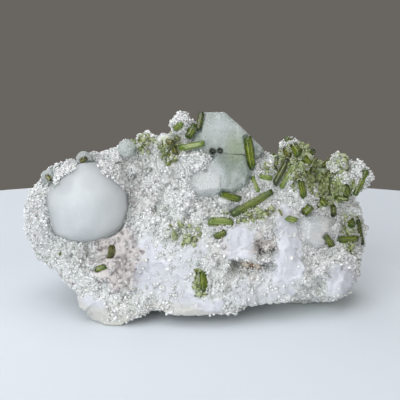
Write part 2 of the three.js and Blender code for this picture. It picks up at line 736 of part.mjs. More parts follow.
// The origin lies under the middle of the whole, on the level that it rests on.
const bounds = new THREE.Box3().setFromObject(grownTogether);
const middle = bounds.getCenter(new THREE.Vector3());
grownTogether.position.set(-middle.x, -middle.y, -bounds.min.z);
const specimen = new THREE.Group();
specimen.add(grownTogether);
export default specimen;
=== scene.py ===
"""A pollucite specimen on its matrix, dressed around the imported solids.

The stone is a lump of sugary white albite with smooth feldspar, pale lilac mica and a green,
murky crest. Large milky pollucite crystals, a clear quartz and many green tourmaline prisms
grow in it. Sizes are written in millimetres and turned to metres where a mesh is made.
"""

import logging
import math
from collections.abc import Sequence
from dataclasses import dataclass, field
from enum import Enum

import bmesh
import bpy
import numpy as np
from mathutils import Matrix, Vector, noise
from mathutils.bvhtree import BVHTree


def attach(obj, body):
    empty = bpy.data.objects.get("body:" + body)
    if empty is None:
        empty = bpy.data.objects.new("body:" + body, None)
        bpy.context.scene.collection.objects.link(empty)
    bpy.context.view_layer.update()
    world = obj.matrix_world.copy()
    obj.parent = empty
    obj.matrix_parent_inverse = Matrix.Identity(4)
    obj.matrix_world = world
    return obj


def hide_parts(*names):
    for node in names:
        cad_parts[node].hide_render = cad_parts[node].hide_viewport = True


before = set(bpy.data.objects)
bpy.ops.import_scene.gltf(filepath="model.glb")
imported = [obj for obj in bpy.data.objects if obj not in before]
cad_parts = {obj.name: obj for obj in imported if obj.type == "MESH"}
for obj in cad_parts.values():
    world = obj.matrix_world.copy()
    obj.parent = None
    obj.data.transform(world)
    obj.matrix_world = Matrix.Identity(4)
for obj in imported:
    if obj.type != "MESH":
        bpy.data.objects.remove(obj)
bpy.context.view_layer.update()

MM = 0.001
LOG = logging.getLogger("specimen")
NOISE_SEED = 11
# Clearance, in millimetres, of a place with no crystal near it.
FAR = 6.0
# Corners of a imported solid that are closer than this, in millimetres, are one corner.
WELD = 0.001
# Odds of growth where nothing should grow, so that the odds never add up to zero.
LEAST = 1e-9

Colour = tuple[float, float, float, float]


def linear(code: str) -> Colour:
    """Turns an sRGB hex colour into linear light.

    Args:
        code: The colour as "#RRGGBB".

    Returns:
        Red, green, blue and alpha in linear light.
    """
    parts = [int(code[at:at + 2], 16) / 255 for at in (1, 3, 5)]
    light = [p / 12.92 if p <= 0.04045 else ((p + 0.055) / 1.055) ** 2.4 for p in parts]
    return (light[0], light[1], light[2], 1.0)


def add_node(
    tree: bpy.types.NodeTree, kind: str, inputs: dict | None = None, **settings: object
) -> bpy.types.Node:
    """Adds a shader node with its settings, input values and links.

    Args:
        tree: The node tree that the node joins.
        kind: The node's type name.
        inputs: What each input takes, by name or number: a socket is linked, a value is set.
        **settings: Attributes of the node itself.

    Returns:
        The new node.
    """
    node = tree.nodes.new(kind)
    for name, value in settings.items():
        setattr(node, name, value)
    for key, value in (inputs or {}).items():
        if isinstance(value, bpy.types.NodeSocket):
            tree.links.new(value, node.inputs[key])
        else:
            node.inputs[key].default_value = value
    return node


def blank_material(name: str) -> tuple[bpy.types.Material, bpy.types.NodeTree]:
    """Makes a material that has no nodes yet.

    Args:
        name: The material's name.

    Returns:
        The material and its node tree.
    """
    material = bpy.data.materials.new(name)
    material.use_nodes = True
    material.node_tree.nodes.clear()
    return material, material.node_tree


def smooth_step(values: np.ndarray, start: float, end: float) -> np.ndarray:
    """Rises smoothly from 0 at start to 1 at end, or falls where end is the smaller one."""
    share = np.clip((values - start) / (end - start), 0.0, 1.0)
    return share * share * (3.0 - 2.0 * share)


def turn_from(angles: np.ndarray, towards: float) -> np.ndarray:
    """Gives the turn between each angle and a direction, from 0 to 180 degrees."""
    return np.abs((angles - towards + 180) % 360 - 180)


def noise_at(points: np.ndarray, size: Sequence[float], seed: float) -> np.ndarray:
    """Samples smooth noise at each point.

    Args:
        points: Places in millimetres, one row each.
        size: Size of the noise's lumps along x, y and z, in millimetres.
        seed: Moves the noise, so that layers differ.

    Returns:
        A value of about -1 to 1 for each point.
    """
    scaled = points / np.array(size) + seed
    return np.array([noise.noise(Vector(p)) for p in scaled])


def cells_at(points: np.ndarray, size: float, seed: float) -> np.ndarray:
    """Measures how far each point is from the middle of its cell.

    Args:
        points: Places in millimetres, one row each.
        size: Size of the cells in millimetres.
        seed: Moves the cells, so that layers differ.

    Returns:
        The distance to the cell's middle, in cell sizes.
    """
    return np.array([noise.voronoi(Vector(p))[0][0] for p in points / size + seed])


def facets_at(points: np.ndarray, size: float, seed: float) -> tuple[np.ndarray, np.ndarray]:
    """Breaks a surface into flat, tilted faces, as a stone that cleaves does.

    Args:
        points: Places in millimetres, one row each.
        size: Size of the faces in millimetres.
        seed: Moves the faces, so that layers differ.

    Returns:
        The height of the tilted face at each point, in sizes, and a shade of 0 to 1 for it.
    """
    # The middles are stretched apart, so that neighbouring faces differ in tilt and shade.
    tilt_step = 5.3
    shade_step = 3.1
    heights = []
    shades = []
    for place in points / size + seed:
        middle = noise.voronoi(Vector(place))[1][0]
        tilt = noise.noise_vector(middle * tilt_step)
        heights.append((Vector(place) - middle).dot(tilt))
        shades.append(0.5 + 0.8 * noise.noise(middle * shade_step))
    return np.array(heights), np.clip(np.array(shades), 0, 1)


def vertex_array(mesh: bpy.types.Mesh, what: str = "co") -> np.ndarray:
    """Reads the places or normals of a mesh's vertices.

    Args:
        mesh: The mesh.
        what: "co" for places in metres, "normal" for normals.

    Returns:
        One row for each vertex.
    """
    values = np.zeros(len(mesh.vertices) * 3, np.float32)
    mesh.vertices.foreach_get(what, values)
    return values.reshape(-1, 3).astype(float)


def move_points(mesh: bpy.types.Mesh, points: np.ndarray) -> None:
    """Moves a mesh's vertices to new places, given in millimetres."""
    mesh.vertices.foreach_set("co", (points * MM).astype(np.float32).ravel())
    mesh.update()


def in_scene(name: str, data: bpy.types.ID) -> bpy.types.Object:
    """Puts a mesh, light or camera in the scene.

    Args:
        name: Name of the new object.
        data: What the object shows.

    Returns:
        The new object.
    """
    item = bpy.data.objects.new(name, data)
    bpy.context.scene.collection.objects.link(item)
    return item


def welded_copy(node: str) -> bpy.types.Object:
    """Copies a solid of the frame with its shared corners merged.

    Args:
        node: The solid's name.

    Returns:
        A new object in the scene with the copied mesh.
    """
    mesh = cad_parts[node].data.copy()
    mesh.materials.clear()
    shape = bmesh.new()
    shape.from_mesh(mesh)
    bmesh.ops.remove_doubles(shape, verts=shape.verts, dist=WELD * MM)
    shape.to_mesh(mesh)
    shape.free()
    return in_scene(f"{node}_copy", mesh)


def keep_largest(mesh: bpy.types.Mesh) -> None:
    """Deletes every loose bit of a mesh but the largest one.

    Args:
        mesh: The mesh that is changed.
    """
    shape = bmesh.new()
    shape.from_mesh(mesh)
    left = set(shape.verts)
    bits = []
    while left:
        start = left.pop()
        bit = [start]
        front = [start]
        while front:
            for edge in front.pop().link_edges:
                for vert in edge.verts:
                    if vert in left:
                        left.discard(vert)
                        bit.append(vert)
                        front.append(vert)
        bits.append(bit)
    bits.sort(key=len)
    loose = [vert for bit in bits[:-1] for vert in bit]
    bmesh.ops.delete(shape, geom=loose, context="VERTS")
    shape.to_mesh(mesh)
    shape.free()


def voxel_skin(node: str, name: str, voxel: float, rounds: int) -> bpy.types.Object:
    """Makes an even, softened skin round a solid of the frame.

    Args:
        node: The solid's name.
        name: Name of the new piece.
        voxel: Size of the skin's faces in millimetres.
        rounds: How often the skin is smoothed, which rounds its edges.

    Returns:
        The new piece.
    """
    source = welded_copy(node)
    remesh = source.modifiers.new("skin", "REMESH")
    remesh.mode = "VOXEL"
    remesh.voxel_size = voxel * MM
    if rounds:
        soften = source.modifiers.new("soften", "SMOOTH")
        soften.iterations = rounds
        soften.factor = 0.5
    graph = bpy.context.evaluated_depsgraph_get()
    mesh = bpy.data.meshes.new_from_object(source.evaluated_get(graph))
    piece = in_scene(name, mesh)
    old = source.data
    bpy.data.objects.remove(source)
    bpy.data.meshes.remove(old)
    mesh.name = name
    keep_largest(mesh)
    return piece


def store(mesh: bpy.types.Mesh, name: str, values: np.ndarray) -> None:
    """Keeps one number for each vertex under a name that a material can read."""
    layer = mesh.attributes.new(name, "FLOAT", "POINT")
    layer.data.foreach_set("value", values.astype(np.float32))


def mount(piece: bpy.types.Object, slot: str, material: bpy.types.Material) -> None:
    """Gives a piece its material and fixes it to the specimen.

    Args:
        piece: The piece.
        slot: The slot that its finish belongs to. It is not used.
        material: The material that it gets.
    """
    piece.data.materials.clear()
    piece.data.materials.append(material)
    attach(piece, "root")


@dataclass
class Carrier:
    """A surface that small crystals grow on, with what is known at each of its points.

    Spread is how far apart the points are and clearance how far the nearest large crystal
    is, in millimetres. Green is a share from 0 to 1, and raised says how far up its lump a
    point is.
    """

    points: np.ndarray
    normals: np.ndarray
    spread: float
    clearance: np.ndarray
    green: np.ndarray
    raised: np.ndarray


def carrier_of(piece: bpy.types.Object, spread: float) -> Carrier:
    """Makes a carrier of a plain piece, with nothing else near it.

    Args:
        piece: The piece that is grown over.
        spread: How far apart its points are, in millimetres.

    Returns:
        The carrier.
    """
    points = vertex_array(piece.data) / MM
    plain = np.zeros(len(points))
    return Carrier(
        points, vertex_array(piece.data, "normal"), spread, plain + FAR, plain, plain
    )


class Ground(Enum):
    """What the stone is made of at a place."""

    MASSIVE = "massive"
    MICA = "mica"
    MURK = "murk"
    STAIN = "stain"


@dataclass(frozen=True)
class Patch:
    """An egg-shaped patch of the show face: its middle and half-sizes in x and z, in mm."""

    ground: Ground
    at: tuple[float, float]
    size: tuple[float, float]
    share: float = 1.0
    soft: float = 0.18

    def cover(self, points: np.ndarray, wander: float | np.ndarray = 0.0) -> np.ndarray:
        """Says how far the patch covers each point.

        Args:
            points: Places in millimetres.
            wander: How far its edge strays at each point, as a share of its size.

        Returns:
            A share from 0 to 1 for each point.
        """
        reach = np.hypot(
            (points[:, 0] - self.at[0]) / self.size[0],
            (points[:, 2] - self.at[1]) / self.size[1],
        )
        return self.share * smooth_step(reach + wander, 1.0 + self.soft, 1.0 - self.soft)


def covered_by(patches: Sequence[Patch], points: np.ndarray) -> np.ndarray:
    """Gives the largest share that any patch has at each point, or 0 where there is none."""
    return np.maximum.reduce([np.zeros(len(points)), *(patch.cover(points) for patch in patches)])


@dataclass(frozen=True)
class AlbiteFinish:
    """Albite feldspar, broken and left raw, so it is dull, white and grainy like sugar.

    Massive parts broke smooth and have a waxy lilac sheen, mica shines softly, and the
    stone glows a little because light goes a millimetre or two into it. Its pits are painted
    darker, as painted shade.
    """

    name: str = "albite_feldspar_broken"
    white: str = "#EEF0F1"
    grey: str = "#D0D6D2"
    # Painted shade: the colour that the pits are darkened towards.
    shade: str = "#8C9189"
    massive: str = "#D5D7DF"
    massive_dull: str = "#B7BBC3"
    mica: str = "#BDB6B6"
    mica_light: str = "#DAD7D4"
    rim: str = "#C1C0B7"
    murk: str = "#8F9E5C"
    stain: str = "#B9AD9F"
    # Crushed albite has grains of 0.3 to 1 mm, drawn a little coarser so that they show.
    grain_mm: float = 1.3
    fleck_mm: float = 0.9
    cloud_mm: float = 9.0
    # Mica leaves are hundredths of a millimetre thick, drawn as upright streaks of 1.6 mm.
    leaf_mm: float = 1.6
    leaf_stretch: float = 0.22
    relief_mm: float = 0.35
    glow_mm: float = 2.6
    ior: float = 1.53

    def build(self) -> bpy.types.Material:
        """Makes the material.

        Returns:
            The material. It reads the shares that the stone stores for each ground.
        """
        material, tree = blank_material(self.name)
        place = add_node(tree, "ShaderNodeTexCoord").outputs["Object"]
        weight = {
            key: add_node(tree, "ShaderNodeAttribute", attribute_name=key).outputs["Fac"]
            for key in ("massive", "mica", "rim", "murk", "stain", "pit", "facet")
        }
        grain = add_node(
            tree, "ShaderNodeTexVoronoi",
            {"Vector": place, "Scale": 1 / (self.grain_mm * MM)},
        ).outputs["Distance"]
        fleck = add_node(
            tree, "ShaderNodeTexNoise",
            {"Vector": place, "Scale": 1 / (self.fleck_mm * MM), "Detail": 3.0, "Roughness": 0.6},
        ).outputs["Fac"]
        cloud = add_node(
            tree, "ShaderNodeTexNoise",
            {"Vector": place, "Scale": 1 / (self.cloud_mm * MM), "Detail": 3.0, "Roughness": 0.55},
        ).outputs["Fac"]
        leafy = add_node(
            tree, "ShaderNodeMapping",
            {"Vector": place, "Scale": (1.0, 1.0, self.leaf_stretch)},
        ).outputs["Vector"]
        streak = add_node(
            tree, "ShaderNodeTexNoise",
            {"Vector": leafy, "Scale": 1 / (self.leaf_mm * MM), "Detail": 3.0},
        ).outputs["Fac"]
        whiter = add_node(
            tree, "ShaderNodeMapRange",
            {"Value": fleck, "From Min": 0.38, "From Max": 0.66},
        ).outputs["Result"]
        clouded = add_node(
            tree, "ShaderNodeMapRange",
            {"Value": cloud, "From Min": 0.35, "From Max": 0.65},
        ).outputs["Result"]
        sheen = add_node(
            tree, "ShaderNodeMix", {0: 0.6, 2: clouded, 3: weight["facet"]}
        ).outputs[0]
        patchy = add_node(
            tree, "ShaderNodeMapRange",
            {"Value": streak, "From Min": 0.3, "From Max": 0.6, "To Min": 0.4},
        ).outputs["Result"]
        # Deep is the pits' painted shade; mossy and rusty are the stone's own green and stain.
        deep, mossy, rusty = (
            add_node(tree, "ShaderNodeMath", {0: share, 1: part}, operation="MULTIPLY").outputs[0]
            for share, part in (
                (weight["pit"], 0.9), (weight["murk"], patchy), (weight["stain"], whiter)
            )
        )
        smooth, lilac = (
            add_node(
                tree, "ShaderNodeMix", {0: share, 6: linear(low), 7: linear(high)},
                data_type="RGBA",
            ).outputs[2]
            for share, low, high in (
                (sheen, self.massive_dull, self.massive), (streak, self.mica, self.mica_light)
            )
        )
        colour = linear(self.grey)
        for share, over in (
            (whiter, linear(self.white)), (deep, linear(self.shade)),
            (weight["massive"], smooth), (weight["mica"], lilac),
            (weight["rim"], linear(self.rim)), (mossy, linear(self.murk)),
            (rusty, linear(self.stain)),
        ):
            colour = add_node(
                tree, "ShaderNodeMix", {0: share, 6: colour, 7: over}, data_type="RGBA"
            ).outputs[2]
        rough = add_node(
            tree, "ShaderNodeMapRange",
            {"Value": weight["massive"], "To Min": 0.68, "To Max": 0.45},
        ).outputs["Result"]
        relief = add_node(
            tree, "ShaderNodeMath", {0: grain, 1: -0.6, 2: fleck}, operation="MULTIPLY_ADD"
        ).outputs[0]
        bump = add_node(
            tree, "ShaderNodeBump",
            {"Height": relief, "Strength": 0.55, "Distance": self.relief_mm * MM},
        ).outputs["Normal"]
        shader = add_node(
            tree, "ShaderNodeBsdfPrincipled",
            {
                "Base Color": colour, "Roughness": rough, "Normal": bump, "IOR": self.ior,
                "Subsurface Weight": 0.55, "Subsurface Scale": self.glow_mm * MM,
                "Subsurface Radius": (1.0, 1.0, 1.0),
            },
        )
        add_node(tree, "ShaderNodeOutputMaterial", {"Surface": shader.outputs[0]})
        return material


@dataclass(frozen=True)
class GrainFinish:
    """Loose-grown feldspar grains or blades: small clean cleavage faces that glint.

    Each grain has its own whiteness, so the crust reads as sugar and not as paint. Grains high
    on their lump are also painted whiter and low ones greyer, as painted light and shade.
    """

    name: str
    white: str = "#F3F5F6"
    grey: str = "#D8DEDA"
    dark: str = "#A2AAA2"
    green: str = "#87945A"
    roughness: float = 0.42
    # Cleavage steps on a grain are about 0.1 mm wide, drawn at 0.7 mm so that they show.
    cloud_mm: float = 0.7
    relief_mm: float = 0.1
    glow_mm: float = 1.8
    ior: float = 1.53

    def build(self) -> bpy.types.Material:
        """Makes the material.

        Returns:
            The material. It reads the crust's attributes raised and tint.
        """
        material, tree = blank_material(self.name)
        each = add_node(tree, "ShaderNodeNewGeometry").outputs["Random Per Island"]
        place = add_node(tree, "ShaderNodeTexCoord").outputs["Object"]
        raised, tint = (
            add_node(tree, "ShaderNodeAttribute", attribute_name=key).outputs["Fac"]
            for key in ("raised", "tint")
        )
        cloud = add_node(
            tree, "ShaderNodeTexNoise", {"Vector": place, "Scale": 1 / (self.cloud_mm * MM)}
        ).outputs["Fac"]
        share = add_node(
            tree, "ShaderNodeMath", {0: each, 1: cloud}, operation="ADD"
        ).outputs[0]
        # Painted light and shade: grains high on their lump are whiter, low ones greyer.
        share = add_node(
            tree, "ShaderNodeMath", {0: raised, 1: 0.9, 2: share}, operation="MULTIPLY_ADD"
        ).outputs[0]
        whiter = add_node(
            tree, "ShaderNodeMapRange", {"Value": share, "From Min": 0.3, "From Max": 1.2}
        ).outputs["Result"]
        # A few grains in a hundred are dark.
        few = add_node(
            tree, "ShaderNodeMapRange", {"Value": each, "From Min": 0.1, "From Max": 0.03}
        ).outputs["Result"]
        patchy = add_node(
            tree, "ShaderNodeMapRange",
            {"Value": cloud, "From Min": 0.3, "From Max": 0.6, "To Min": 0.25},
        ).outputs["Result"]
        mossy = add_node(
            tree, "ShaderNodeMath", {0: tint, 1: patchy}, operation="MULTIPLY"
        ).outputs[0]
        colour = linear(self.grey)
        for share, over in ((whiter, self.white), (few, self.dark), (mossy, self.green)):
            colour = add_node(
                tree, "ShaderNodeMix", {0: share, 6: colour, 7: linear(over)}, data_type="RGBA"
            ).outputs[2]
        bump = add_node(
            tree, "ShaderNodeBump",
            {"Height": cloud, "Strength": 0.3, "Distance": self.relief_mm * MM},
        ).outputs["Normal"]
        shader = add_node(
            tree, "ShaderNodeBsdfPrincipled",
            {
                "Base Color": colour, "Roughness": self.roughness, "Normal": bump,
                "IOR": self.ior, "Subsurface Weight": 0.65,
                "Subsurface Scale": self.glow_mm * MM, "Subsurface Radius": (1.0, 1.0, 1.0),
            },
        )
        add_node(tree, "ShaderNodeOutputMaterial", {"Surface": shader.outputs[0]})
        return material


@dataclass(frozen=True)
class CrystalFinish:
    """A clear to milky crystal with natural, lightly etched faces.

    Etching and fine inclusions make it look frosted: light comes through, shapes don't.
    The clouds are veil_mm across, cover says how much of them shows, depth_mm is how far
    light goes before it takes on the tint, and scatter is the glow's share and its reach.
    """

    name: str
    body: str
    cloud: str
    tint: str
    veil_mm: float
    cover: tuple[float, float]
    roughness: float
    clear: float
    scatter: tuple[float, float]
    ior: float = 1.52
    depth_mm: float = 90
    green: str = "#A9BE86"
    # Etch pits are about 0.1 mm across, drawn at 1.4 mm so that they show.
    etch_mm: float = 1.4
    etch: float = 0.25
    relief_mm: float = 0.15

    def build(self) -> bpy.types.Material:
        """Makes the material.

        Returns:
            The material. It reads the crystal's attributes veil and green.
        """
        material, tree = blank_material(self.name)
        place = add_node(tree, "ShaderNodeTexCoord").outputs["Object"]
        veiled, greened = (
            add_node(tree, "ShaderNodeAttribute", attribute_name=key).outputs["Fac"]
            for key in ("veil", "green")
        )
        veil = add_node(
            tree, "ShaderNodeTexNoise",
            {
                "Vector": place, "Scale": 1 / (self.veil_mm * MM), "Detail": 4.0,
                "Roughness": 0.6, "Distortion": 0.6,
            },
        ).outputs["Fac"]
        share = add_node(
            tree, "ShaderNodeMapRange",
            {"Value": veil, "From Min": self.cover[0], "From Max": self.cover[1]},
        ).outputs["Result"]
        cloudy = add_node(
            tree, "ShaderNodeMath", {0: share, 1: veiled}, operation="MAXIMUM"
        ).outputs[0]
        colour = linear(self.body)
        for share, over in ((cloudy, self.cloud), (greened, self.green)):
            colour = add_node(
                tree, "ShaderNodeMix", {0: share, 6: colour, 7: linear(over)}, data_type="RGBA"
            ).outputs[2]
        pits = add_node(
            tree, "ShaderNodeTexNoise",
            {"Vector": place, "Scale": 1 / (self.etch_mm * MM), "Detail": 3.0},
        ).outputs["Fac"]
        bump = add_node(
            tree, "ShaderNodeBump",
            {"Height": pits, "Strength": self.etch, "Distance": self.relief_mm * MM},
        ).outputs["Normal"]
        rough = add_node(
            tree, "ShaderNodeMapRange",
            {
                "Value": pits, "From Min": 0.3, "From Max": 0.7,
                "To Min": self.roughness * 0.8, "To Max": self.roughness * 1.2,
            },
        ).outputs["Result"]
        shader = add_node(
            tree, "ShaderNodeBsdfPrincipled",
            {
                "Base Color": colour, "Roughness": rough, "Normal": bump,
                "IOR": self.ior, "Transmission Weight": self.clear,
                "Subsurface Weight": self.scatter[0],
                "Subsurface Scale": self.scatter[1] * MM,
                "Subsurface Radius": (1.0, 1.0, 1.0),
            },
        )
        inside = add_node(
            tree, "ShaderNodeVolumeAbsorption",
            {"Color": linear(self.tint), "Density": 1 / (self.depth_mm * MM)},
        )
        add_node(
            tree, "ShaderNodeOutputMaterial",
            {"Surface": shader.outputs[0], "Volume": inside.outputs[0]},
        )
        return material


@dataclass(frozen=True)
class TourmalineFinish:
    """Tourmaline, glassy, with growth lines that catch light and shadow and get painted shade."""

    name: str
    core: str
    # The edge colour is the dark one, which the ends, clouds and painted groove shade go to.
    edge: str
    ior: float = 1.63
    roughness: float = 0.16
    clear: float = 0.5
    cloud_mm: float = 1.8
    relief_mm: float = 0.1

    def build(self) -> bpy.types.Material:
        """Makes the material.

        Returns:
            The material. It reads the prism's attributes ridge and along.
        """
        material, tree = blank_material(self.name)
        place = add_node(tree, "ShaderNodeTexCoord").outputs["Object"]
        ridge, along = (
            add_node(tree, "ShaderNodeAttribute", attribute_name=key).outputs["Fac"]
            for key in ("ridge", "along")
        )
        cloud = add_node(
            tree, "ShaderNodeTexNoise",
            {"Vector": place, "Scale": 1 / (self.cloud_mm * MM), "Detail": 2.0},
        ).outputs["Fac"]
        # Ridge darkens the colour: on the imported prisms it is painted shade in the grooves and on
        # the faces away from the corners, on the needles a darkness that differs at random.
        share = ridge
        for part, factor in ((cloud, 0.7), (along, 0.5)):
            share = add_node(
                tree, "ShaderNodeMath", {0: part, 1: factor, 2: share}, operation="MULTIPLY_ADD"
            ).outputs[0]
        darker = add_node(
            tree, "ShaderNodeMapRange", {"Value": share, "From Min": 0.3, "From Max": 1.05}
        ).outputs["Result"]
        colour = add_node(
            tree, "ShaderNodeMix",
            {0: darker, 6: linear(self.core), 7: linear(self.edge)}, data_type="RGBA",
        ).outputs[2]
        bump = add_node(
            tree, "ShaderNodeBump",
            {"Height": cloud, "Strength": 0.15, "Distance": self.relief_mm * MM},
        ).outputs["Normal"]
        shader = add_node(
            tree, "ShaderNodeBsdfPrincipled",
            {
                "Base Color": colour, "Roughness": self.roughness, "Normal": bump,
                "IOR": self.ior, "Transmission Weight": self.clear,
            },
        )
        add_node(tree, "ShaderNodeOutputMaterial", {"Surface": shader.outputs[0]})
        return material


@dataclass(frozen=True)
class BoardFinish:
    """Painted board, matte, with mottling so faint that it reads as one pale tone."""

    name: str = "painted_board_matte"
    light: str = "#DDE4EA"
    dark: str = "#D9E0E6"
    mottle_mm: float = 60
    roughness: float = 0.6

    def build(self) -> bpy.types.Material:
        """Makes the material.

        Returns:
            The material.
        """
        material, tree = blank_material(self.name)
        place = add_node(tree, "ShaderNodeTexCoord").outputs["Object"]
        cloud = add_node(
            tree, "ShaderNodeTexNoise",
            {"Vector": place, "Scale": 1 / (self.mottle_mm * MM), "Detail": 3.0},
        ).outputs["Fac"]
        colour = add_node(
            tree, "ShaderNodeMix",
            {0: cloud, 6: linear(self.dark), 7: linear(self.light)}, data_type="RGBA",
        ).outputs[2]
        shader = add_node(
            tree, "ShaderNodeBsdfPrincipled",
            {"Base Color": colour, "Roughness": self.roughness},
        )
        add_node(tree, "ShaderNodeOutputMaterial", {"Surface": shader.outputs[0]})
        return material


# What the show face is made of, patch by patch. Where no patch lies, it is sugary albite.
PATCHES = (
    Patch(Ground.MASSIVE, (-10, 19), (13, 8), 0.85),
    Patch(Ground.MASSIVE, (-22, 24), (8, 11)),
    Patch(Ground.MASSIVE, (-3, 29), (8, 5), 0.8),
    Patch(Ground.MASSIVE, (38.8, 28), (6.5, 17)),
    Patch(Ground.MASSIVE, (18, 31.5), (9, 6.5)),
    Patch(Ground.MASSIVE, (27, 14), (14, 6), 0.75),
    Patch(Ground.MASSIVE, (39, 56), (4, 4), 0.8),
    Patch(Ground.MASSIVE, (62, 14), (7, 9)),
    Patch(Ground.MASSIVE, (0, 8), (12, 6)),
    Patch(Ground.MASSIVE, (-71, 38), (7, 20), 0.6),
    Patch(Ground.MASSIVE, (-44, 5), (8, 6)),
    Patch(Ground.MICA, (-34.5, 26), (10, 11)),
    Patch(Ground.MICA, (9, 30.5), (4, 5), 0.5),
    Patch(Ground.MICA, (-71, 36), (6, 16), 0.35),
    Patch(Ground.MICA, (-60, 12), (6, 5), 0.7),
    Patch(Ground.MICA, (-25, 49), (7, 6), 0.5),
    Patch(Ground.MURK, (42, 65), (8, 6), 0.9),
    Patch(Ground.MURK, (50, 57), (9, 6), 0.8),
    Patch(Ground.MURK, (57, 51), (6, 8)),
    Patch(Ground.MURK, (61, 50), (9, 5), 0.9),
    Patch(Ground.MURK, (60, 62), (6, 6), 0.35),
    Patch(Ground.MURK, (33, 58), (6, 4), 0.35),
    Patch(Ground.MURK, (-12, 68), (6, 5), 0.7),
    Patch(Ground.MURK, (22, 43), (11, 3), 0.5),
    Patch(Ground.MURK, (-5, 36), (8, 5), 0.35),
    Patch(Ground.MURK, (67, 32), (5, 7), 0.6),
    Patch(Ground.MURK, (1.5, 17), (3, 5), 0.8),
    Patch(Ground.MURK, (-24, 70), (6, 4), 0.4),
    Patch(Ground.STAIN, (28.5, 30.5), (6, 5.5)),
    Patch(Ground.STAIN, (18.5, 21.5), (5, 3), 0.7),
    Patch(Ground.STAIN, (23.5, 21.5), (3, 4)),
)

# Gaps of the crest that nothing stands up in or grows over.
NOTCHES = (
    Patch(Ground.MURK, (51.5, 68), (5.5, 8), 1.0, 0.3),
    Patch(Ground.MURK, (-15, 74), (3, 5), 1.0, 0.3),
)


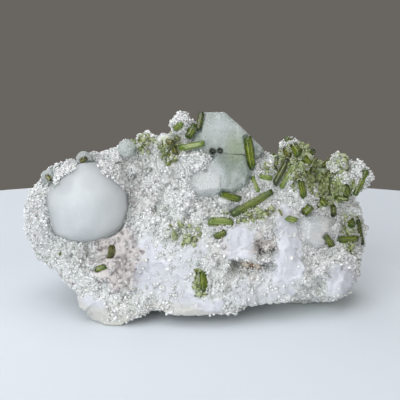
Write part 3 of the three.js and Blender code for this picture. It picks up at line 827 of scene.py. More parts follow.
@dataclass
class Stone:
    """The matrix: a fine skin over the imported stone, roughened to suit what it is made of.

    Sugary ground has cells, lumps, grit and holes, massive ground has large and small flat
    faces, mica has pleats and flakes, and the low rim has layers. Each has its size and its
    height in millimetres.
    """

    name: str = "stone"
    voxel: float = 0.74
    cell: float = 3.3
    cell_height: float = 1.4
    lump: tuple[float, float, float] = (6.5, 6.5, 6.5)
    lump_height: float = 1.0
    grit: tuple[float, float, float] = (1.3, 1.3, 1.3)
    grit_height: float = 0.35
    massive_grit_height: float = 0.06
    hole: tuple[float, float, float] = (2.6, 2.6, 2.6)
    hole_depth: float = 0.8
    sugar_depth: float = 0.9
    large_face: float = 9.0
    large_height: float = 2.6
    small_face: float = 4.0
    small_height: float = 0.9
    pleat: tuple[float, float, float] = (1.3, 1.3, 7.0)
    pleat_height: float = 0.3
    flake_height: float = 0.8
    layer: tuple[float, float, float] = (9.0, 9.0, 1.4)
    layer_height: float = 0.45
    # The worn rim's stain fades out between these heights, which stray by rim_wander.
    rim_height: tuple[float, float] = (5.0, 11.0)
    rim_wander: float = 4.0
    rim_share: float = 0.75
    # The skin is the back where its normal's y is above the first and the front where it is
    # below the second. The back broke smooth in areas of back_area.
    back_facing: tuple[float, float] = (0.55, 0.1)
    back_area: tuple[float, float, float] = (22.0, 22.0, 22.0)
    back_share: float = 0.85
    # A point lies under a crystal that is this near, in mm, and this straight ahead of it.
    under_gap: float = 2.5
    under_facing: float = 0.6
    piece: bpy.types.Object = field(init=False)
    carrier: Carrier = field(init=False)
    tree: BVHTree = field(init=False)
    weights: dict[str, np.ndarray] = field(init=False)
    socket: np.ndarray = field(init=False)

    def build(self) -> bpy.types.Object:
        """Makes the stone and stores what each vertex is made of.

        Returns:
            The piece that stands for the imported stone.
        """
        self.piece = voxel_skin("matrix", self.name, self.voxel, 1)
        mesh = self.piece.data
        points = vertex_array(mesh) / MM
        normals = vertex_array(mesh, "normal")
        clearance, self.socket = self._clearance(points, normals)
        self.weights = self._weights(points, normals)
        depth, pit, raised = self._relief(points)
        # The skin stays where it was beside a crystal and at the feet.
        free = smooth_step(clearance, 0.4, 2.2)
        footed = smooth_step(points[:, 2], 0.2, 3.0)
        points += normals * (depth * free * footed)[:, None]
        points[:, 2] = np.maximum(points[:, 2], 0.0)
        # The pit share also paints shade into the holes: the albite finish darkens them.
        self.weights["pit"] = pit * free
        move_points(mesh, points)
        for key, values in self.weights.items():
            store(mesh, key, values)
        self.carrier = Carrier(
            points, vertex_array(mesh, "normal"), self.voxel, clearance,
            self.weights["murk"], raised,
        )
        self.tree = BVHTree.FromObject(self.piece, bpy.context.evaluated_depsgraph_get())
        mount(self.piece, "albite", AlbiteFinish().build())
        mesh.shade_smooth()
        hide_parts("matrix")
        return self.piece

    def _clearance(
        self, points: np.ndarray, normals: np.ndarray
    ) -> tuple[np.ndarray, np.ndarray]:
        """Measures how far each point is from the nearest crystal.

        Args:
            points: Places in millimetres.
            normals: Directions that the skin faces.

        Returns:
            The distance in millimetres, and 1 where the crystal lies over the point, else 0.
        """
        corners: list[Vector] = []
        faces: list[list[int]] = []
        for name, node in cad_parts.items():
            if name == "matrix":
                continue
            start = len(corners)
            corners.extend(v.co / MM for v in node.data.vertices)
            faces.extend([start + i for i in face.vertices] for face in node.data.polygons)
        tree = BVHTree.FromPolygons(corners, faces)
        gaps = np.full(len(points), FAR)
        covered = np.zeros(len(points))
        for number, point in enumerate(points):
            wall, _, _, gap = tree.find_nearest(Vector(point), FAR)
            if wall is None:
                continue
            gaps[number] = gap
            facing = (np.array(wall) - point) @ normals[number] / max(gap, 1e-6)
            covered[number] = gap < self.under_gap and facing > self.under_facing
        return gaps, covered

    def _weights(self, points: np.ndarray, normals: np.ndarray) -> dict[str, np.ndarray]:
        """Says how much of each ground there is at each point.

        Args:
            points: Places in millimetres.
            normals: Directions that the skin faces.

        Returns:
            Shares from 0 to 1 for massive, mica, murk, stain and rim.
        """
        # A patch's edge strays in broad bends and in fine ones.
        broad = 0.42 * noise_at(points, (5, 5, 5), seed=3.1)
        wander = broad + 0.3 * noise_at(points, (2, 2, 2), seed=9.7)
        shown = smooth_step(normals[:, 1], *self.back_facing)
        shares = {ground.value: np.zeros(len(points)) for ground in Ground}
        for patch in PATCHES:
            inside = patch.cover(points, wander)
            if patch.ground is not Ground.STAIN:
                inside = inside * shown
            key = patch.ground.value
            shares[key] = np.maximum(shares[key], inside)
        areas = smooth_step(noise_at(points, self.back_area, seed=5.5), -0.25, 0.1)
        broken = (1 - shown) * areas
        shares["massive"] = np.maximum(shares["massive"], self.back_share * broken)
        low, high = self.rim_height
        height = points[:, 2] + self.rim_wander * noise_at(points, (9, 9, 4), seed=1.3)
        shares["rim"] = self.rim_share * smooth_step(height, high, low)
        return shares

    def _relief(self, points: np.ndarray) -> tuple[np.ndarray, np.ndarray, np.ndarray]:
        """Works out how far the skin stands out at each point.

        Args:
            points: Places in millimetres.

        Returns:
            Height in millimetres, a share from 0 to 1 that says how pitted it is and sets the pits'
            painted shade, and a value of about -0.6 to 0.6 that says how far up its lump each point
            is, which also paints the grains whiter high up and greyer low down, as painted light
            and shade.
        """
        massive = np.maximum(self.weights["massive"], 0.6 * self.weights["rim"])
        mica = self.weights["mica"]
        sugar = 1 - np.clip(np.maximum(massive, mica), 0, 1)
        # Each cell is a rounded head, about level with the skin half way to its edge.
        heads = 0.42 - cells_at(points, self.cell, seed=2.2) ** 1.5
        lumps = noise_at(points, self.lump, seed=7.7)
        grit = noise_at(points, self.grit, seed=4.9)
        holes = noise_at(points, self.hole, seed=12.4)
        pit = smooth_step(holes, 0.25, 0.5) * sugar
        height = sugar * (
            self.cell_height * heads + self.lump_height * lumps + self.grit_height * grit
            - self.sugar_depth
        )
        height -= self.hole_depth * pit
        # Raised also paints the grains whiter high on a lump and greyer low down, as painted light.
        raised = np.clip(1.3 * heads + 0.7 * lumps, -0.6, 0.6)
        large, self.weights["facet"] = facets_at(points, self.large_face, seed=6.1)
        small, _ = facets_at(points, self.small_face, seed=3.7)
        height += massive * (
            self.large_height * large + self.small_height * small
            + self.massive_grit_height * grit
        )
        pleats = noise_at(points, self.pleat, seed=8.8)
        height += mica * (self.pleat_height * pleats + self.flake_height * small)
        layers = noise_at(points, self.layer, seed=2.9)
        height += self.weights["rim"] * self.layer_height * layers
        low = 1 - covered_by(NOTCHES, points)
        height = np.where(height > 0, height * low, height)
        return height, pit, raised


class Habit(Enum):
    """Shapes of small crystals."""

    BLOCK = "block"
    PLATE = "plate"
    POINT = "point"
    PRISM = "prism"


def habit_shape(habit: Habit) -> tuple[np.ndarray, list[tuple[int, ...]]]:
    """Gives the corners and faces of a small crystal that fills a box of side 1.

    Args:
        habit: Which shape.

    Returns:
        Corners, one row each, and faces as corner numbers.
    """
    if habit is Habit.BLOCK:
        ends = (-0.5, 0.5)
        shape = np.array([(x, y, z) for z in ends for y in ends for x in ends])
        # One end is smaller and off the middle, so that no block is a plain box.
        shape[4:, :2] = shape[4:, :2] * 0.82 + 0.08
        faces = [(0, 2, 3, 1), (4, 5, 7, 6), (0, 1, 5, 4), (1, 3, 7, 5), (3, 2, 6, 7), (2, 0, 4, 6)]
        return shape, faces
    sides = 6
    turns = [2 * math.pi * k / sides for k in range(sides)]
    ring = [(0.5 * math.cos(t), 0.5 * math.sin(t)) for t in turns]
    corners = [(x, y, -0.5) for x, y in ring]
    top = 0.25 if habit is Habit.POINT else 0.5
    corners += [(x, y, top) for x, y in ring]
    faces = [(k, (k + 1) % sides, sides + (k + 1) % sides, sides + k) for k in range(sides)]
    faces.append(tuple(reversed(range(sides))))
    if habit is Habit.POINT:
        # The tip is a little off the axis, as grown points are.
        corners.append((0.06, -0.04, 0.5))
        tip = 2 * sides
        faces += [(sides + k, sides + (k + 1) % sides, tip) for k in range(sides)]
    else:
        faces.append(tuple(range(sides, 2 * sides)))
    return np.array(corners), faces


def joined(
    name: str, habit: Habit, places: np.ndarray, frames: np.ndarray, sizes: np.ndarray,
    jitter: float, rng: np.random.Generator,
) -> bpy.types.Object:
    """Makes many small crystals as one mesh.

    Args:
        name: Name of the new piece.
        habit: Shape of the crystals.
        places: Middle of each crystal in millimetres.
        frames: Three axes of each crystal, as the columns of a matrix.
        sizes: Size of each crystal along its three axes, in millimetres.
        jitter: How far each corner strays, as a share of the size.
        rng: Source of random numbers.

    Returns:
        The new piece.
    """
    shape, faces = habit_shape(habit)
    count = len(places)
    corners = shape[None] + rng.uniform(-jitter, jitter, (count, len(shape), 3))
    corners = np.einsum("nij,nvj->nvi", frames, corners * sizes[:, None, :])
    corners = (corners + places[:, None, :]).reshape(-1, 3) * MM
    lengths = np.array([len(face) for face in faces])
    loops = np.concatenate([np.array(face) for face in faces])
    all_loops = (loops[None] + len(shape) * np.arange(count)[:, None]).ravel()
    all_lengths = np.tile(lengths, count)
    starts = np.concatenate([[0], np.cumsum(all_lengths)[:-1]])
    mesh = bpy.data.meshes.new(name)
    mesh.vertices.add(len(corners))
    mesh.vertices.foreach_set("co", corners.astype(np.float32).ravel())
    mesh.loops.add(len(all_loops))
    mesh.loops.foreach_set("vertex_index", all_loops.astype(np.int32))
    mesh.polygons.add(len(all_lengths))
    mesh.polygons.foreach_set("loop_start", starts.astype(np.int32))
    mesh.update(calc_edges=True)
    return in_scene(name, mesh)


def axes_along(
    directions: np.ndarray, lean: float, rng: np.random.Generator
) -> np.ndarray:
    """Makes a set of axes for each direction, turned at random about it.

    Args:
        directions: Where the third axis points, one row each.
        lean: How far the third axis strays: 0 follows the direction, 2 is nearly random.
        rng: Source of random numbers.

    Returns:
        One matrix for each direction, with the axes as columns.
    """
    third = directions + lean * rng.normal(0, 1, directions.shape)
    third /= np.linalg.norm(third, axis=1, keepdims=True)
    first = np.cross(third, rng.normal(0, 1, directions.shape))
    first /= np.linalg.norm(first, axis=1, keepdims=True)
    second = np.cross(third, first)
    return np.stack([first, second, third], axis=2)


@dataclass(frozen=True)
class Crust:
    """Small crystals grown over a surface, as one joined mesh.

    Length, breadth and thickness give the least and the most in millimetres. Lean is how
    far the crystals stray from upright, lift how far they stand out as a share of their
    thinnest side, jitter how crooked they are, and pile how high they heap up in millimetres.
    """

    name: str
    habit: Habit
    finish: GrainFinish | TourmalineFinish
    count: int
    length: tuple[float, float]
    breadth: tuple[float, float]
    thickness: tuple[float, float]
    lean: float
    seed: int
    lift: float = 0.25
    jitter: float = 0.12
    slot: str = "albite"
    pile: float = 0.0

    def build(self, ground: Carrier, weight: np.ndarray) -> bpy.types.Object:
        """Scatters the crystals over a surface.

        Args:
            ground: The surface that they grow on.
            weight: How densely each point of it is grown over.

        Returns:
            The new piece.
        """
        rng = np.random.default_rng(self.seed)
        corners = rng.choice(len(weight), self.count, p=weight / weight.sum())
        normals = ground.normals[corners]
        places = ground.points[corners] + rng.uniform(-0.5, 0.5, (self.count, 3)) * ground.spread
        length = rng.uniform(*self.length, self.count) * rng.uniform(0.6, 1.0, self.count)
        breadth = rng.uniform(*self.breadth, self.count)
        thickness = rng.uniform(*self.thickness, self.count)
        sizes = np.stack([breadth, thickness, length], axis=1)
        # Close beside a large crystal they stay half as large.
        near = smooth_step(ground.clearance[corners], 0.2, 2.5)
        sizes *= (0.5 + 0.5 * near)[:, None]
        lift = self.lift * sizes.min(axis=1) + self.pile * rng.uniform(0, 1, self.count)
        places = places + normals * lift[:, None]
        # A block's corners are this far from its middle, so none goes through the floor.
        corner_reach = 0.87
        places[:, 2] = np.maximum(places[:, 2], sizes.max(axis=1) * corner_reach)
        frames = axes_along(normals, self.lean, rng)
        piece = joined(self.name, self.habit, places, frames, sizes, self.jitter, rng)
        shape, _ = habit_shape(self.habit)
        if self.habit is Habit.PRISM:
            store(piece.data, "along", np.tile(0.3 * (shape[:, 2] + 0.5), self.count))
            store(piece.data, "ridge", np.repeat(rng.uniform(0, 0.6, self.count), len(shape)))
        store(piece.data, "tint", np.repeat(ground.green[corners], len(shape)))
        store(piece.data, "raised", np.repeat(ground.raised[corners], len(shape)))
        mount(piece, self.slot, self.finish.build())
        return piece


def grow_fast(
    points: np.ndarray, normals: np.ndarray, tree: BVHTree, reach: float = 0.6
) -> np.ndarray:
    """Pushes a crystal's buried faces into the stone, so that no gap is left between them.

    Args:
        points: The crystal's points in millimetres.
        normals: The direction that the crystal faces at each point.
        tree: The stone's surface, in metres.
        reach: How far a point is pushed, in millimetres.

    Returns:
        The moved points.
    """
    moved = points.copy()
    for number, (point, normal) in enumerate(zip(points, normals)):
        wall, _, _, gap = tree.find_nearest(Vector(point * MM), 3 * reach * MM)
        if wall is None:
            continue
        towards = np.array(wall) / MM - point
        # Only a point that faces the stone is pushed, and less the further off it is.
        if towards @ normal > 0.3 * gap / MM:
            moved[number] += normal * reach * min(1.0, 2.2 - gap / MM / reach)
    return moved


@dataclass
class SoftCrystal:
    """A crystal with natural, slightly rounded edges and gently wavy faces.

    Voxel is the size of its skin's faces and rounds how often the skin is smoothed. Wave and
    wave_size are the height and length of the waves. All three sizes are in millimetres.

    Each lobe is a direction in degrees, how far it stands out in mm and how wide it is in
    degrees. Each flat face is a turn and a rise in degrees and its share of the half-size.
    Round_off is how far the front is drawn to an egg, and flat_depth how far a flat face is
    cut down, both as shares.
    """

    node: str
    finish: bpy.types.Material
    voxel: float
    rounds: int
    wave: float
    wave_size: float
    slot: str = "pollucite"
    lobes: tuple[tuple[float, float, float], ...] = ()
    round_off: float = 0.0
    veils: tuple[Patch, ...] = ()
    flats: tuple[tuple[float, float, float], ...] = ()
    flat_depth: float = 0.9

    def _shaped(self, points: np.ndarray) -> np.ndarray:
        """Rounds the crystal off, cuts its flat faces and moves its outline by its lobes.

        Args:
            points: Its points in millimetres.

        Returns:
            The moved points.
        """
        middle = (points.max(axis=0) + points.min(axis=0)) / 2
        half = (points.max(axis=0) - points.min(axis=0)) / 2
        off = points - middle
        reach = np.linalg.norm(off / half, axis=1)
        # Only the front is rounded off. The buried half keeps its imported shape.
        ahead = smooth_step(off[:, 1] / half[1], -0.1, -0.55)
        off *= (1 + self.round_off * ahead * (1 / reach - 1))[:, None]
        for turn, rise, share in self.flats:
            level = math.cos(math.radians(rise))
            facing = np.array([
                level * math.sin(math.radians(turn)),
                -level * math.cos(math.radians(turn)),
                math.sin(math.radians(rise)),
            ])
            over = off @ facing - share * np.linalg.norm(half * facing)
            off -= (self.flat_depth * np.maximum(over, 0))[:, None] * facing
        angles = np.degrees(np.arctan2(off[:, 2], off[:, 0]))
        across = np.hypot(off[:, 0], off[:, 2])
        # A lobe moves the outer part and leaves the middle of the front where it is.
        rim = smooth_step(across, 0.45 * half[0], 0.95 * half[0])
        push = np.zeros(len(points))
        for towards, by, wide in self.lobes:
            push += by * smooth_step(turn_from(angles, towards), wide, 0) * rim
        scale = 1 + push / np.maximum(across, 1)
        return middle + off * np.stack([scale, np.ones(len(points)), scale], axis=1)

    def build(self, stone: Stone) -> bpy.types.Object:
        """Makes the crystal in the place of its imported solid.

        Args:
            stone: The stone that it grew in.

        Returns:
            The new piece.
        """
        piece = voxel_skin(self.node, f"{self.node}_crystal", self.voxel, self.rounds)
        mesh = piece.data
        points = vertex_array(mesh) / MM
        normals = vertex_array(mesh, "normal")
        height = self.wave * noise_at(points, (self.wave_size,) * 3, seed=3.3)
        points = self._shaped(points + normals * height[:, None])
        points = grow_fast(points, normals, stone.tree)
        move_points(mesh, points)
        for key, ground in (("veil", Ground.MASSIVE), ("green", Ground.MURK)):
            patches = [patch for patch in self.veils if patch.ground is ground]
            store(mesh, key, covered_by(patches, points))
        mesh.shade_smooth()
        mount(piece, self.slot, self.finish)
        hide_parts(self.node)
        return piece


@dataclass
class Lining:
    """A hollow's crust: a thin lumpy skin with tiny quartz points standing on it.

    Count is how many points there are, and lump how high the skin's lumps are, in mm.
    """

    node: str
    count: int
    seed: int
    light: str = "#DDD9D5"
    dull: str = "#B3ACA6"
    slot: str = "stained"
    voxel: float = 0.45
    lump: float = 0.35
    lump_size: tuple[float, float, float] = (1.6, 1.6, 1.6)
    ground: Carrier = field(init=False)

    def build(self) -> list[bpy.types.Object]:
        """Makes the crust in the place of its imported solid, and its points.

        Returns:
            The new pieces. The skin's surface is kept for more to grow on.
        """
        skin = GrainFinish("quartz_crust_iron_stained", self.light, self.dull, "#6B5748")
        piece = voxel_skin(self.node, f"{self.node}_lining", self.voxel, 1)
        ground = carrier_of(piece, self.voxel)
        height = self.lump * noise_at(ground.points, self.lump_size, seed=4.2)
        ground.points += ground.normals * height[:, None]
        move_points(piece.data, ground.points)
        mount(piece, self.slot, skin.build())
        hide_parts(self.node)
        tips = GrainFinish(
            "quartz_points_iron_stained", self.light, self.dull, "#5E4A3B", roughness=0.25
        )
        points = Crust(
            f"{self.node}_points", Habit.POINT, tips, count=self.count,
            length=(0.8, 1.8), breadth=(0.4, 0.8), thickness=(0.4, 0.7),
            lean=0.7, seed=self.seed, lift=0.3, jitter=0.06, slot=self.slot,
        )
        self.ground = ground
        return [piece, points.build(ground, np.ones(len(ground.points)))]


@dataclass
class RidgedPrism:
    """A tourmaline prism: six sides that bulge a little, with growth lines along them.

    Ridge is the lines' height as a share of the thickness, lines is how many of each kind
    run round it, broken is how far its ends slant, and squat scales it along x and z.
    """

    node: str
    finish: bpy.types.Material
    seed: int
    around: int = 36
    rings: int = 12
    # Real growth lines are about 0.1 mm apart. These are coarser, so that they show.
    ridge: float = 0.035
    lines: tuple[int, ...] = (11, 17, 23)
    broken: float = 0.4
    squat: tuple[float, float] = (1.0, 1.0)
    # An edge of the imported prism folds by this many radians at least. It runs along the
    # prism if its direction and its length are this near to those of the longest edge.
    least_fold: float = 0.15
    straightness: float = 0.995
    least_length: float = 0.3

    def build(self, stone: Stone) -> bpy.types.Object:
        """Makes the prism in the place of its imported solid.

        Args:
            stone: The stone that it grew in.

        Returns:
            The new piece.
        """
        start, end, axes, radius = self._fit()
        corners, painted_line_shades, alongs = self._rings(start, end, axes, radius)
        middle = (start + end) / 2
        corners = middle + (corners - middle) * (self.squat[0], 1.0, self.squat[1])
        mesh = bpy.data.meshes.new(f"{self.node}_ridged")
        mesh.from_pydata((corners * MM).tolist(), [], self._faces())
        mesh.update()
        corners = grow_fast(corners, vertex_array(mesh, "normal"), stone.tree, 0.4)
        move_points(mesh, corners)
        store(mesh, "ridge", painted_line_shades)
        store(mesh, "along", alongs)
        piece = in_scene(f"{self.node}_ridged", mesh)
        mesh.shade_smooth()
        mount(piece, "tourmaline", self.finish)
        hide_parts(self.node)
        return piece

    def _rings(
        self, start: np.ndarray, end: np.ndarray, axes: tuple[np.ndarray, np.ndarray],
        radius: float,
    ) -> tuple[np.ndarray, np.ndarray, np.ndarray]:
        """Works out the prism's corners, ring by ring, and the middles of its two ends.

        Args:
            start: One end of the axis, in millimetres.
            end: Its other end.
            axes: Two axes across it.
            radius: The distance from the axis to a corner.

        Returns:
            The corners, and for each one its painted shade, from how deep it lies between the
            growth lines and how far it is from a corner, and how near it is to an end.
        """
        rng = np.random.default_rng(self.seed)
        span = end - start
        along = span / np.linalg.norm(span)
        angles = 2 * math.pi * np.arange(self.around) / self.around
        side = np.pi / 3
        to_corner = (angles + side / 2) % side - side / 2
        flat = math.cos(side / 2) / np.cos((angles % side) - side / 2)
        # A hexagon, drawn a little to a circle and to three sides, as tourmaline grows.
        outline = radius * (0.78 * flat + 0.2 + 0.02 * np.cos(3 * angles))
        lines = sum(
            np.sin(k * angles + rng.uniform(0, 2 * math.pi)) for k in self.lines
        ) / len(self.lines)
        spokes = np.cos(angles)[:, None] * axes[0] + np.sin(angles)[:, None] * axes[1]
        # Painted shade: darker between the growth lines and on the faces away from the corners.
        painted_line_shade = 0.35 - 0.35 * lines + 0.15 * (1 - np.cos(6 * to_corner))
        # Both end rings are narrower, and with the ring next to each they slant.
        end_rows = (0, self.rings - 1)
        rows = []
        alongs = []
        for row, share in enumerate(np.linspace(0, 1, self.rings)):
            wobble = 1 + 0.015 * rng.normal()
            reach = outline * wobble * (0.93 if row in end_rows else 1)
            reach = reach + self.ridge * 2 * radius * lines
            if row in (0, self.rings - 2):
                lean = rng.uniform(0, 2 * math.pi)
            near_end = row in (0, 1, self.rings - 2, self.rings - 1)
            slant = near_end * self.broken * radius * (1 + np.cos(angles - lean))
            inward = along * (1 if share < 0.5 else -1)
            rows.append(start + span * share + reach[:, None] * spokes + slant[:, None] * inward)
            alongs.append(np.full(self.around, abs(2 * share - 1) ** 3))
        return (
            np.concatenate(rows + [start[None], end[None]]),
            np.concatenate([painted_line_shade] * self.rings + [np.full(2, 0.3)]),
            np.concatenate(alongs + [np.full(2, 1.0)]),
        )

    def _faces(self) -> list[tuple[int, ...]]:
        """Joins the rings' corners to faces, and closes both ends.

        Returns:
            The faces as corner numbers.
        """
        faces = []
        for row in range(self.rings - 1):
            low = row * self.around
            high = low + self.around
            for k in range(self.around):
                after = (k + 1) % self.around
                faces.append((low + k, low + after, high + after, high + k))
        bottom = self.rings * self.around
        last_row = bottom - self.around
        for k in range(self.around):
            after = (k + 1) % self.around
            faces.append((after, k, bottom))
            faces.append((last_row + k, last_row + after, bottom + 1))
        return faces

    def _fit(self) -> tuple[np.ndarray, np.ndarray, tuple[np.ndarray, np.ndarray], float]:
        """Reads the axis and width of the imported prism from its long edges.

        Returns:
            Both ends of the axis, two axes across it, and the distance to a corner.
        """
        shape = bmesh.new()
        shape.from_mesh(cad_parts[self.node].data)
        bmesh.ops.remove_doubles(shape, verts=shape.verts, dist=WELD * MM)
        sharp = [
            edge for edge in shape.edges
            if len(edge.link_faces) == 2 and edge.calc_face_angle() > self.least_fold
        ]
        ends = [
            (np.array(edge.verts[0].co) / MM, np.array(edge.verts[1].co) / MM)
            for edge in sharp
        ]
        points = np.array([v.co for v in shape.verts]) / MM
        shape.free()
        spans = [b - a for a, b in ends]
        longest = max(spans, key=np.linalg.norm)
        along = longest / np.linalg.norm(longest)
        lateral = [
            (a, b) for (a, b), span in zip(ends, spans)
            if abs(span @ along) > self.straightness * np.linalg.norm(span)
            and np.linalg.norm(span) > self.least_length * np.linalg.norm(longest)
        ]
        feet = np.array([a - (a @ along) * along for a, _ in lateral])
        centre = feet.mean(axis=0)
        first = feet[np.argmax(np.linalg.norm(feet - centre, axis=1))] - centre
        radius = float(np.median(np.linalg.norm(feet - centre, axis=1)))
        first /= np.linalg.norm(first)
        second = np.cross(along, first)
        heights = points @ along
        return (
            centre + heights.min() * along,
            centre + heights.max() * along,
            (first, second),
            radius,
        )


@dataclass(frozen=True)
class Lamp:
    """A soft square light: where it stands and its side in metres, its power and its tint."""

    name: str
    place: tuple[float, float, float]
    side: float
    watts: float
    tint: str


@dataclass
class Studio:
    """A pale floor, soft light from the front left and a camera at the photo's angle.

    Lengths are in millimetres, but for the lamps' places and sides. The floor's edge lies
    floor_back behind the origin, and its top floor_drop below it.
    """

    look_at: tuple[float, float, float] = (1.04, -1.98, 45.8)
    elevation: float = 18.0
    distance: float = 500.0
    lens: float = 104.1
    sensor: float = 36.0
    floor_radius: float = 400.0
    floor_back: float = 174.0
    floor_drop: float = 0.2
    surround: str = "#696560"
    lamps: tuple[Lamp, ...] = (
        Lamp("key", (-0.66, -0.98, 0.56), 1.3, 16.8, "#FDFEFF"),
        Lamp("top", (-0.15, 0.1, 1.1), 1.3, 8.6, "#F6F9FF"),
        Lamp("fill", (0.85, -0.7, 0.4), 1.2, 3.4, "#FFF9F2"),
        Lamp("back", (-0.55, 1.0, 0.6), 1.2, 2.4, "#FFFFFF"),
    )

    def build(self) -> None:
        """Makes the floor, the lights, the backdrop colour and the camera."""
        self._floor()
        self._lights()
        self._camera()

    def _floor(self) -> None:
        """Makes a round table top whose far edge shows behind the specimen."""
        shape = bmesh.new()
        bmesh.ops.create_circle(
            shape, cap_ends=True, segments=160, radius=self.floor_radius * MM
        )
        mesh = bpy.data.meshes.new("floor")
        shape.to_mesh(mesh)
        shape.free()
        mesh.materials.append(BoardFinish().build())
        floor = in_scene("floor", mesh)
        floor.location = (
            0, (self.floor_back - self.floor_radius) * MM, -self.floor_drop * MM
        )

    def _lights(self) -> None:
        """Adds the lights and the grey surround."""
        world = bpy.data.worlds.new("surround")
        world.use_nodes = True
        backdrop = world.node_tree.nodes["Background"]
        backdrop.inputs["Color"].default_value = linear(self.surround)
        bpy.context.scene.world = world
        middle = Vector(self.look_at) * MM
        for lamp in self.lamps:
            light = bpy.data.lights.new(lamp.name, "AREA")
            light.size = lamp.side
            light.energy = lamp.watts
            light.color = linear(lamp.tint)[:3]
            holder = in_scene(lamp.name, light)
            holder.location = lamp.place
            towards = middle - holder.location
            holder.rotation_euler = towards.to_track_quat("-Z", "Y").to_euler()

    def _camera(self) -> None:
        """Adds the camera and the plain colour transform."""
        camera = bpy.data.cameras.new("camera")
        camera.lens = self.lens
        camera.sensor_width = self.sensor
        holder = in_scene("camera", camera)
        tilt = math.radians(self.elevation)
        holder.location = (
            self.look_at[0] * MM,
            (self.look_at[1] - self.distance * math.cos(tilt)) * MM,
            (self.look_at[2] + self.distance * math.sin(tilt)) * MM,
        )
        holder.rotation_euler = (math.pi / 2 - tilt, 0, 0)
        bpy.context.scene.camera = holder
        bpy.context.scene.view_settings.view_transform = "Standard"


class Tone(Enum):
    """Shades of green of tourmaline, light and dark; painted shade in the grooves takes the dark.
    """

    BRIGHT = ("#C2CC40", "#4E680C")
    DARK = ("#9AA634", "#2E3E08")
    PALE = ("#D6E094", "#7E983C")
    OLIVE = ("#B4B44E", "#585C1A")
    BLACK = ("#3A4224", "#12170A")


# The prisms of each shade. A prism in no list is bright green.
TONES = {
    Tone.BLACK: ("black_left", "black_right"),
    Tone.DARK: (
        "crest_dark", "saddle_thin", "fan_dark", "gap_dark",
        "right_dark", "knob_one_edge", "edge_upright",
    ),
    Tone.PALE: (
        "crest_lying", "fan_pale", "fan_streak", "middle_thick", "pillar_pale", "knob_pale",
        "fan_cross",
    ),
    Tone.OLIVE: (
        "crest_round_a", "crest_round_b", "knob_two_olive", "knob_two_left", "mica_round",
        "rim_green", "rim_small", "knob_one_left",
    ),
}


def tone_of(node: str) -> Tone:
    """Looks up the shade of a prism by its node's name.

    Args:
        node: The node's name.

    Returns:
        The shade, or bright green where no list names the prism.
    """
    short = node.removeprefix("tourmaline_")
    for tone, names in TONES.items():
        if short in names:
            return tone
    return Tone.BRIGHT


# What grows on the stone. Each crust's bed is worked out in GrainCover.
CRUSTS = (
    Crust(
        "albite_grains", Habit.BLOCK, GrainFinish("albite_grains_cleaved"), count=5500,
        length=(0.8, 2.2), breadth=(0.6, 1.5), thickness=(0.5, 1.2),
        lean=1.2, seed=21, lift=0.0,
    ),
    Crust(
        "albite_sugar", Habit.BLOCK, GrainFinish("albite_sugar_grown"), count=16000,
        length=(0.35, 0.9), breadth=(0.3, 0.75), thickness=(0.3, 0.6),
        lean=1.5, seed=22, lift=0.1,
    ),
    Crust(
        "albite_sugar_fine", Habit.BLOCK, GrainFinish("albite_sugar_crushed", grey="#DCE1E2"),
        count=9000, length=(0.35, 0.8), breadth=(0.3, 0.7), thickness=(0.3, 0.6),
        lean=1.5, seed=26, lift=0.15,
    ),
    Crust(
        "albite_banks", Habit.BLOCK, GrainFinish("albite_banks_grown"), count=6000,
        length=(0.7, 1.6), breadth=(0.6, 1.2), thickness=(0.5, 1.0),
        lean=1.5, seed=28, lift=0.1, pile=0.7,
    ),
    Crust(
        "albite_blades", Habit.PLATE,
        GrainFinish("albite_blades_clear", "#EEF2F0", "#C9D2C8", roughness=0.3), count=1500,
        length=(0.25, 0.5), breadth=(1.2, 2.8), thickness=(1.0, 2.2),
        lean=0.7, seed=23, lift=0.2,
    ),
    Crust(
        "mica_flakes", Habit.PLATE,
        GrainFinish("lepidolite_mica_split", "#D8D4D4", "#BDB5B6", "#A0979A", roughness=0.35),
        count=420, length=(0.12, 0.28), breadth=(1.4, 3.4), thickness=(1.0, 2.6),
        lean=0.1, seed=24, lift=0.0,
    ),
    Crust(
        "albite_lumps", Habit.BLOCK,
        GrainFinish("albite_lumps_green", "#A6B08C", "#727F4E", "#444F22", roughness=0.25),
        count=560, length=(1.4, 3.4), breadth=(1.2, 2.6), thickness=(1.0, 2.2),
        lean=1.5, seed=25, lift=0.0, jitter=0.2,
    ),
    *(
        Crust(
            name, Habit.PRISM, TourmalineFinish(finish, *tone.value), count=count,
            length=(1.2, 3.4), breadth=(0.5, 1.2), thickness=(0.5, 1.1),
            lean=0.9, seed=seed, lift=0.3, jitter=0.03, slot="tourmaline",
        )
        for name, finish, tone, count, seed in (
            ("tourmaline_needles", "tourmaline_needles_bright", Tone.BRIGHT, 220, 31),
            ("tourmaline_grains", "tourmaline_needles_olive", Tone.OLIVE, 260, 32),
        )
    ),
)


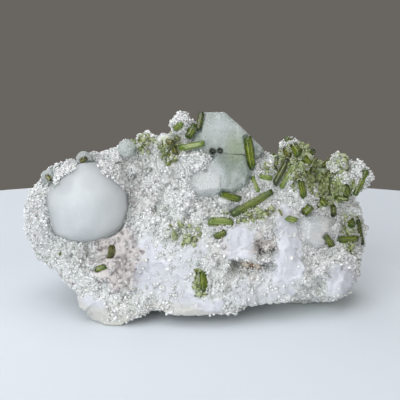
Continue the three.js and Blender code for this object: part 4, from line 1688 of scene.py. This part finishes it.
@dataclass
class GrainCover:
    """Everything small that grows on the stone: sugar, blades, flakes, lumps and needles."""

    crusts: tuple[Crust, ...] = CRUSTS
    # Where clear blades stand: a middle in x and z, and how far they reach from it, in mm.
    tufts: tuple[tuple[float, float, float], ...] = (
        (42, 66, 10), (65, 58, 12), (-12, 72, 10), (-30, 68, 12), (60, 42, 10),
    )
    # Shares of what grows in the best place that grow at the back, and off the bed proper.
    at_back: float = 0.35
    stray_sugar: float = 0.004
    stray_blades: float = 0.04
    stray_flakes: float = 0.001
    stray_needles: float = 0.0006
    # Shares that notches and green ground keep from growing.
    notch_loss: float = 0.97
    murk_loss: float = 0.55
    clump: tuple[float, float, float] = (4.5, 4.5, 4.5)

    def build(self, stone: Stone) -> list[bpy.types.Object]:
        """Grows each crust on the ground that suits it.

        Args:
            stone: The stone that they grow on.

        Returns:
            The new pieces.
        """
        beds = self._beds(stone.carrier, stone.weights, stone.socket)
        return [crust.build(stone.carrier, beds[crust.name]) for crust in self.crusts]

    def _beds(
        self, ground: Carrier, shares: dict[str, np.ndarray], socket: np.ndarray
    ) -> dict[str, np.ndarray]:
        """Says how densely each crust grows at each point of the stone.

        Args:
            ground: The stone's surface.
            shares: How much of each ground there is at each point.
            socket: 1 where a large crystal lies over the point, else 0.

        Returns:
            A weight for each point, by the crust's name.
        """
        points = ground.points
        open_ground = smooth_step(ground.clearance, 0.25, 0.6) * (1 - socket)
        open_ground = open_ground * (1 - self.notch_loss * covered_by(NOTCHES, points))
        off_floor = open_ground * smooth_step(points[:, 2], 0.6, 2.5)
        front = self.at_back + (1 - self.at_back) * smooth_step(ground.normals[:, 1], 0.3, -0.2)
        # Sugar keeps off massive ground, mica and the worn rim, and grows thinner on green.
        bare = np.maximum.reduce([shares["massive"], 1.2 * shares["mica"], 0.85 * shares["rim"]])
        sugar = off_floor * np.clip(1 - bare, self.stray_sugar, 1) * front
        sugar = sugar * (1 - self.murk_loss * shares["murk"])
        clumps = 0.25 + smooth_step(noise_at(points, self.clump, seed=18.3), -0.2, 0.25)
        tufted = np.zeros(len(points))
        for x, z, reach in self.tufts:
            away = np.hypot(points[:, 0] - x, points[:, 2] - z)
            tufted = np.maximum(tufted, smooth_step(away, reach, 0.5 * reach))
        murk = off_floor * shares["murk"] ** 1.5
        needles = murk + self.stray_needles * sugar
        return {
            "albite_grains": sugar * clumps,
            "albite_sugar": sugar,
            "albite_sugar_fine": sugar,
            "albite_banks": sugar * smooth_step(ground.clearance, 1.8, 0.5),
            "albite_blades": off_floor * (tufted + self.stray_blades) * front,
            "mica_flakes": off_floor * (shares["mica"] + self.stray_flakes),
            "albite_lumps": murk,
            "tourmaline_needles": needles,
            "tourmaline_grains": needles,
        }


@dataclass
class Collar:
    """Albite grains that have grown over the rim of the left crystal.

    Each stretch of the rim is a direction and a half-width in degrees, and how far from the
    crystal's middle the grains start, in millimetres.
    """

    voxel: float
    stretches: tuple[tuple[float, float, float], ...] = (
        (44, 34, 16.2), (126, 22, 15.8), (-85, 50, 16.8), (-30, 30, 17.0),
    )
    crust: Crust = Crust(
        "albite_collar", Habit.BLOCK, GrainFinish("albite_collar_grown"), count=2800,
        length=(0.6, 1.8), breadth=(0.5, 1.3), thickness=(0.4, 1.0),
        lean=1.4, seed=27, lift=0.0, pile=0.9,
    )

    def build(self, crystal: bpy.types.Object) -> bpy.types.Object:
        """Grows the grains over the crystal's rim.

        Args:
            crystal: The left crystal.

        Returns:
            The new piece.
        """
        ground = carrier_of(crystal, self.voxel)
        off = ground.points - ground.points.mean(axis=0)
        angles = np.degrees(np.arctan2(off[:, 2], off[:, 0]))
        # The grains' inner edge strays by up to 1.6 mm.
        stray = 1.6 * noise_at(ground.points, (5, 5, 5), seed=3.0)
        across = np.hypot(off[:, 0], off[:, 2]) + stray
        grown = np.zeros(len(off))
        for towards, wide, start in self.stretches:
            within = smooth_step(turn_from(angles, towards), wide, 0.5 * wide)
            grown = np.maximum(grown, within * smooth_step(across, start, start + 1))
        grown *= smooth_step(off[:, 1], 8, 4)
        return self.crust.build(ground, grown + LEAST)


MILKY = CrystalFinish(
    "pollucite_milky_etched", body="#CBD1D5", cloud="#DBE0E2", tint="#F0F4F4",
    veil_mm=16, cover=(0.35, 0.65), roughness=0.5, clear=0.2, scatter=(1.0, 22.0),
)
GLASSY = CrystalFinish(
    "pollucite_clear_grown", body="#AFBBB4", cloud="#F0F6F8", tint="#E4EEE8",
    veil_mm=7, cover=(0.48, 0.74), roughness=0.3, clear=0.5, scatter=(0.8, 6.0),
)
CLEAR_QUARTZ = CrystalFinish(
    "quartz_clear_grown", body="#E8EEF3", cloud="#FCFDFE", tint="#E6ECF2",
    veil_mm=7, cover=(0.4, 0.6), roughness=0.25, clear=0.5, scatter=(0.8, 5.0), ior=1.544,
)


@dataclass
class ClearCrystals:
    """The pollucite crystals and the quartz, with the grains over the left one's rim."""

    left_voxel: float = 0.75
    left_lobes: tuple[tuple[float, float, float], ...] = (
        (216, 3.4, 45), (176, 1.6, 40), (262, 0.8, 30),
    )
    left_flats: tuple[tuple[float, float, float], ...] = (
        (-8, 6, 0.96), (34, 8, 0.97), (10, 46, 0.95), (-38, 36, 0.96), (2, -36, 0.97),
    )
    veils: tuple[Patch, ...] = (
        Patch(Ground.MASSIVE, (3, 56.5), (9, 8), 1.0, 0.3),
        Patch(Ground.MASSIVE, (7, 76), (8, 5), 0.55, 0.8),
        Patch(Ground.MASSIVE, (-2, 70), (5, 8), 0.4, 0.6),
        Patch(Ground.MURK, (16.5, 68), (4, 5), 0.5, 0.8),
    )
    small_veils: tuple[Patch, ...] = (Patch(Ground.MASSIVE, (-20, 62), (60, 40), 0.5),)

    def build(self, stone: Stone) -> list[bpy.types.Object]:
        """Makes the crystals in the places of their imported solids.

        Args:
            stone: The stone that they grew in.

        Returns:
            The new pieces.
        """
        milky = MILKY.build()
        glassy = GLASSY.build()
        quartz = CLEAR_QUARTZ.build()
        left = SoftCrystal(
            "pollucite_left", milky, self.left_voxel, rounds=80, wave=0.2, wave_size=9,
            lobes=self.left_lobes, round_off=0.75, flats=self.left_flats,
        )
        large = [
            SoftCrystal(
                f"pollucite_{name}", glassy, 0.36, rounds=4, wave=0.1, wave_size=5,
                veils=self.veils,
            )
            for name in ("top", "centre")
        ]
        small = [
            SoftCrystal(
                f"pollucite_{name}", glassy, 0.25, rounds=3, wave=0.3, wave_size=2,
                veils=self.small_veils,
            )
            for name in ("crest_small", "rim_upper", "rim_lower", "chip")
        ]
        right = SoftCrystal(
            "quartz_right", quartz, 0.32, rounds=2, wave=0.08, wave_size=4, slot="quartz"
        )
        pieces = [crystal.build(stone) for crystal in (left, *large, *small, right)]
        return pieces + [Collar(self.left_voxel).build(pieces[0])]


@dataclass
class PrismSet:
    """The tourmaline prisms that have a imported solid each, every one in its own shade."""

    first_seed: int = 100
    clear: float = 0.5
    black_clear: float = 0.05
    black_squat: tuple[float, float] = (1.05, 0.65)

    def build(self, stone: Stone) -> list[bpy.types.Object]:
        """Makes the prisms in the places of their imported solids.

        Args:
            stone: The stone that they grew in.

        Returns:
            The new pieces.
        """
        finishes = {}
        for tone in Tone:
            clear = self.black_clear if tone is Tone.BLACK else self.clear
            name = f"tourmaline_{tone.name.lower()}_grown"
            finishes[tone] = TourmalineFinish(name, *tone.value, clear=clear).build()
        pieces = []
        nodes = [node for node in sorted(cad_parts) if node.startswith("tourmaline_")]
        for seed, node in enumerate(nodes, self.first_seed):
            tone = tone_of(node)
            squat = self.black_squat if tone is Tone.BLACK else (1.0, 1.0)
            pieces.append(RidgedPrism(node, finishes[tone], seed, squat=squat).build(stone))
        return pieces


@dataclass
class Hollows:
    """The crusts of both hollows, and the smoky points in the middle of the slot.

    Brown_x is the x of the smoky points' middle and brown_reach how far they stand from it,
    both in millimetres.
    """

    brown_x: float = 22.3
    brown_reach: float = 1.8

    def build(self) -> list[bpy.types.Object]:
        """Lines both hollows.

        Returns:
            The new pieces.
        """
        pieces = Lining("cavity_crust", 260, 41).build()
        slot = Lining("slot_crust", 240, 42, light="#EAE2D6", dull="#C4B6A4")
        pieces += slot.build()
        brown = GrainFinish(
            "quartz_smoky_grown", "#86705C", "#5C4A3A", "#3A2C22", roughness=0.25
        )
        points = Crust(
            "slot_brown_points", Habit.POINT, brown, count=26,
            length=(1.4, 2.6), breadth=(0.9, 1.5), thickness=(0.8, 1.3),
            lean=0.5, seed=43, lift=0.3, jitter=0.06, slot=slot.slot,
        )
        away = np.abs(slot.ground.points[:, 0] - self.brown_x)
        pieces.append(points.build(slot.ground, smooth_step(away, self.brown_reach, 0.4) + LEAST))
        return pieces


def main() -> None:
    """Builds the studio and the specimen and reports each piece."""
    noise.seed_set(NOISE_SEED)
    Studio().build()
    stone = Stone()
    pieces = [stone.build()]
    pieces += GrainCover().build(stone)
    pieces += ClearCrystals().build(stone)
    pieces += PrismSet().build(stone)
    pieces += Hollows().build()
    for piece in pieces:
        LOG.info("%s: %d faces", piece.name, len(piece.data.polygons))


if __name__ == "__main__":
    logging.basicConfig(level=logging.INFO)
    main()
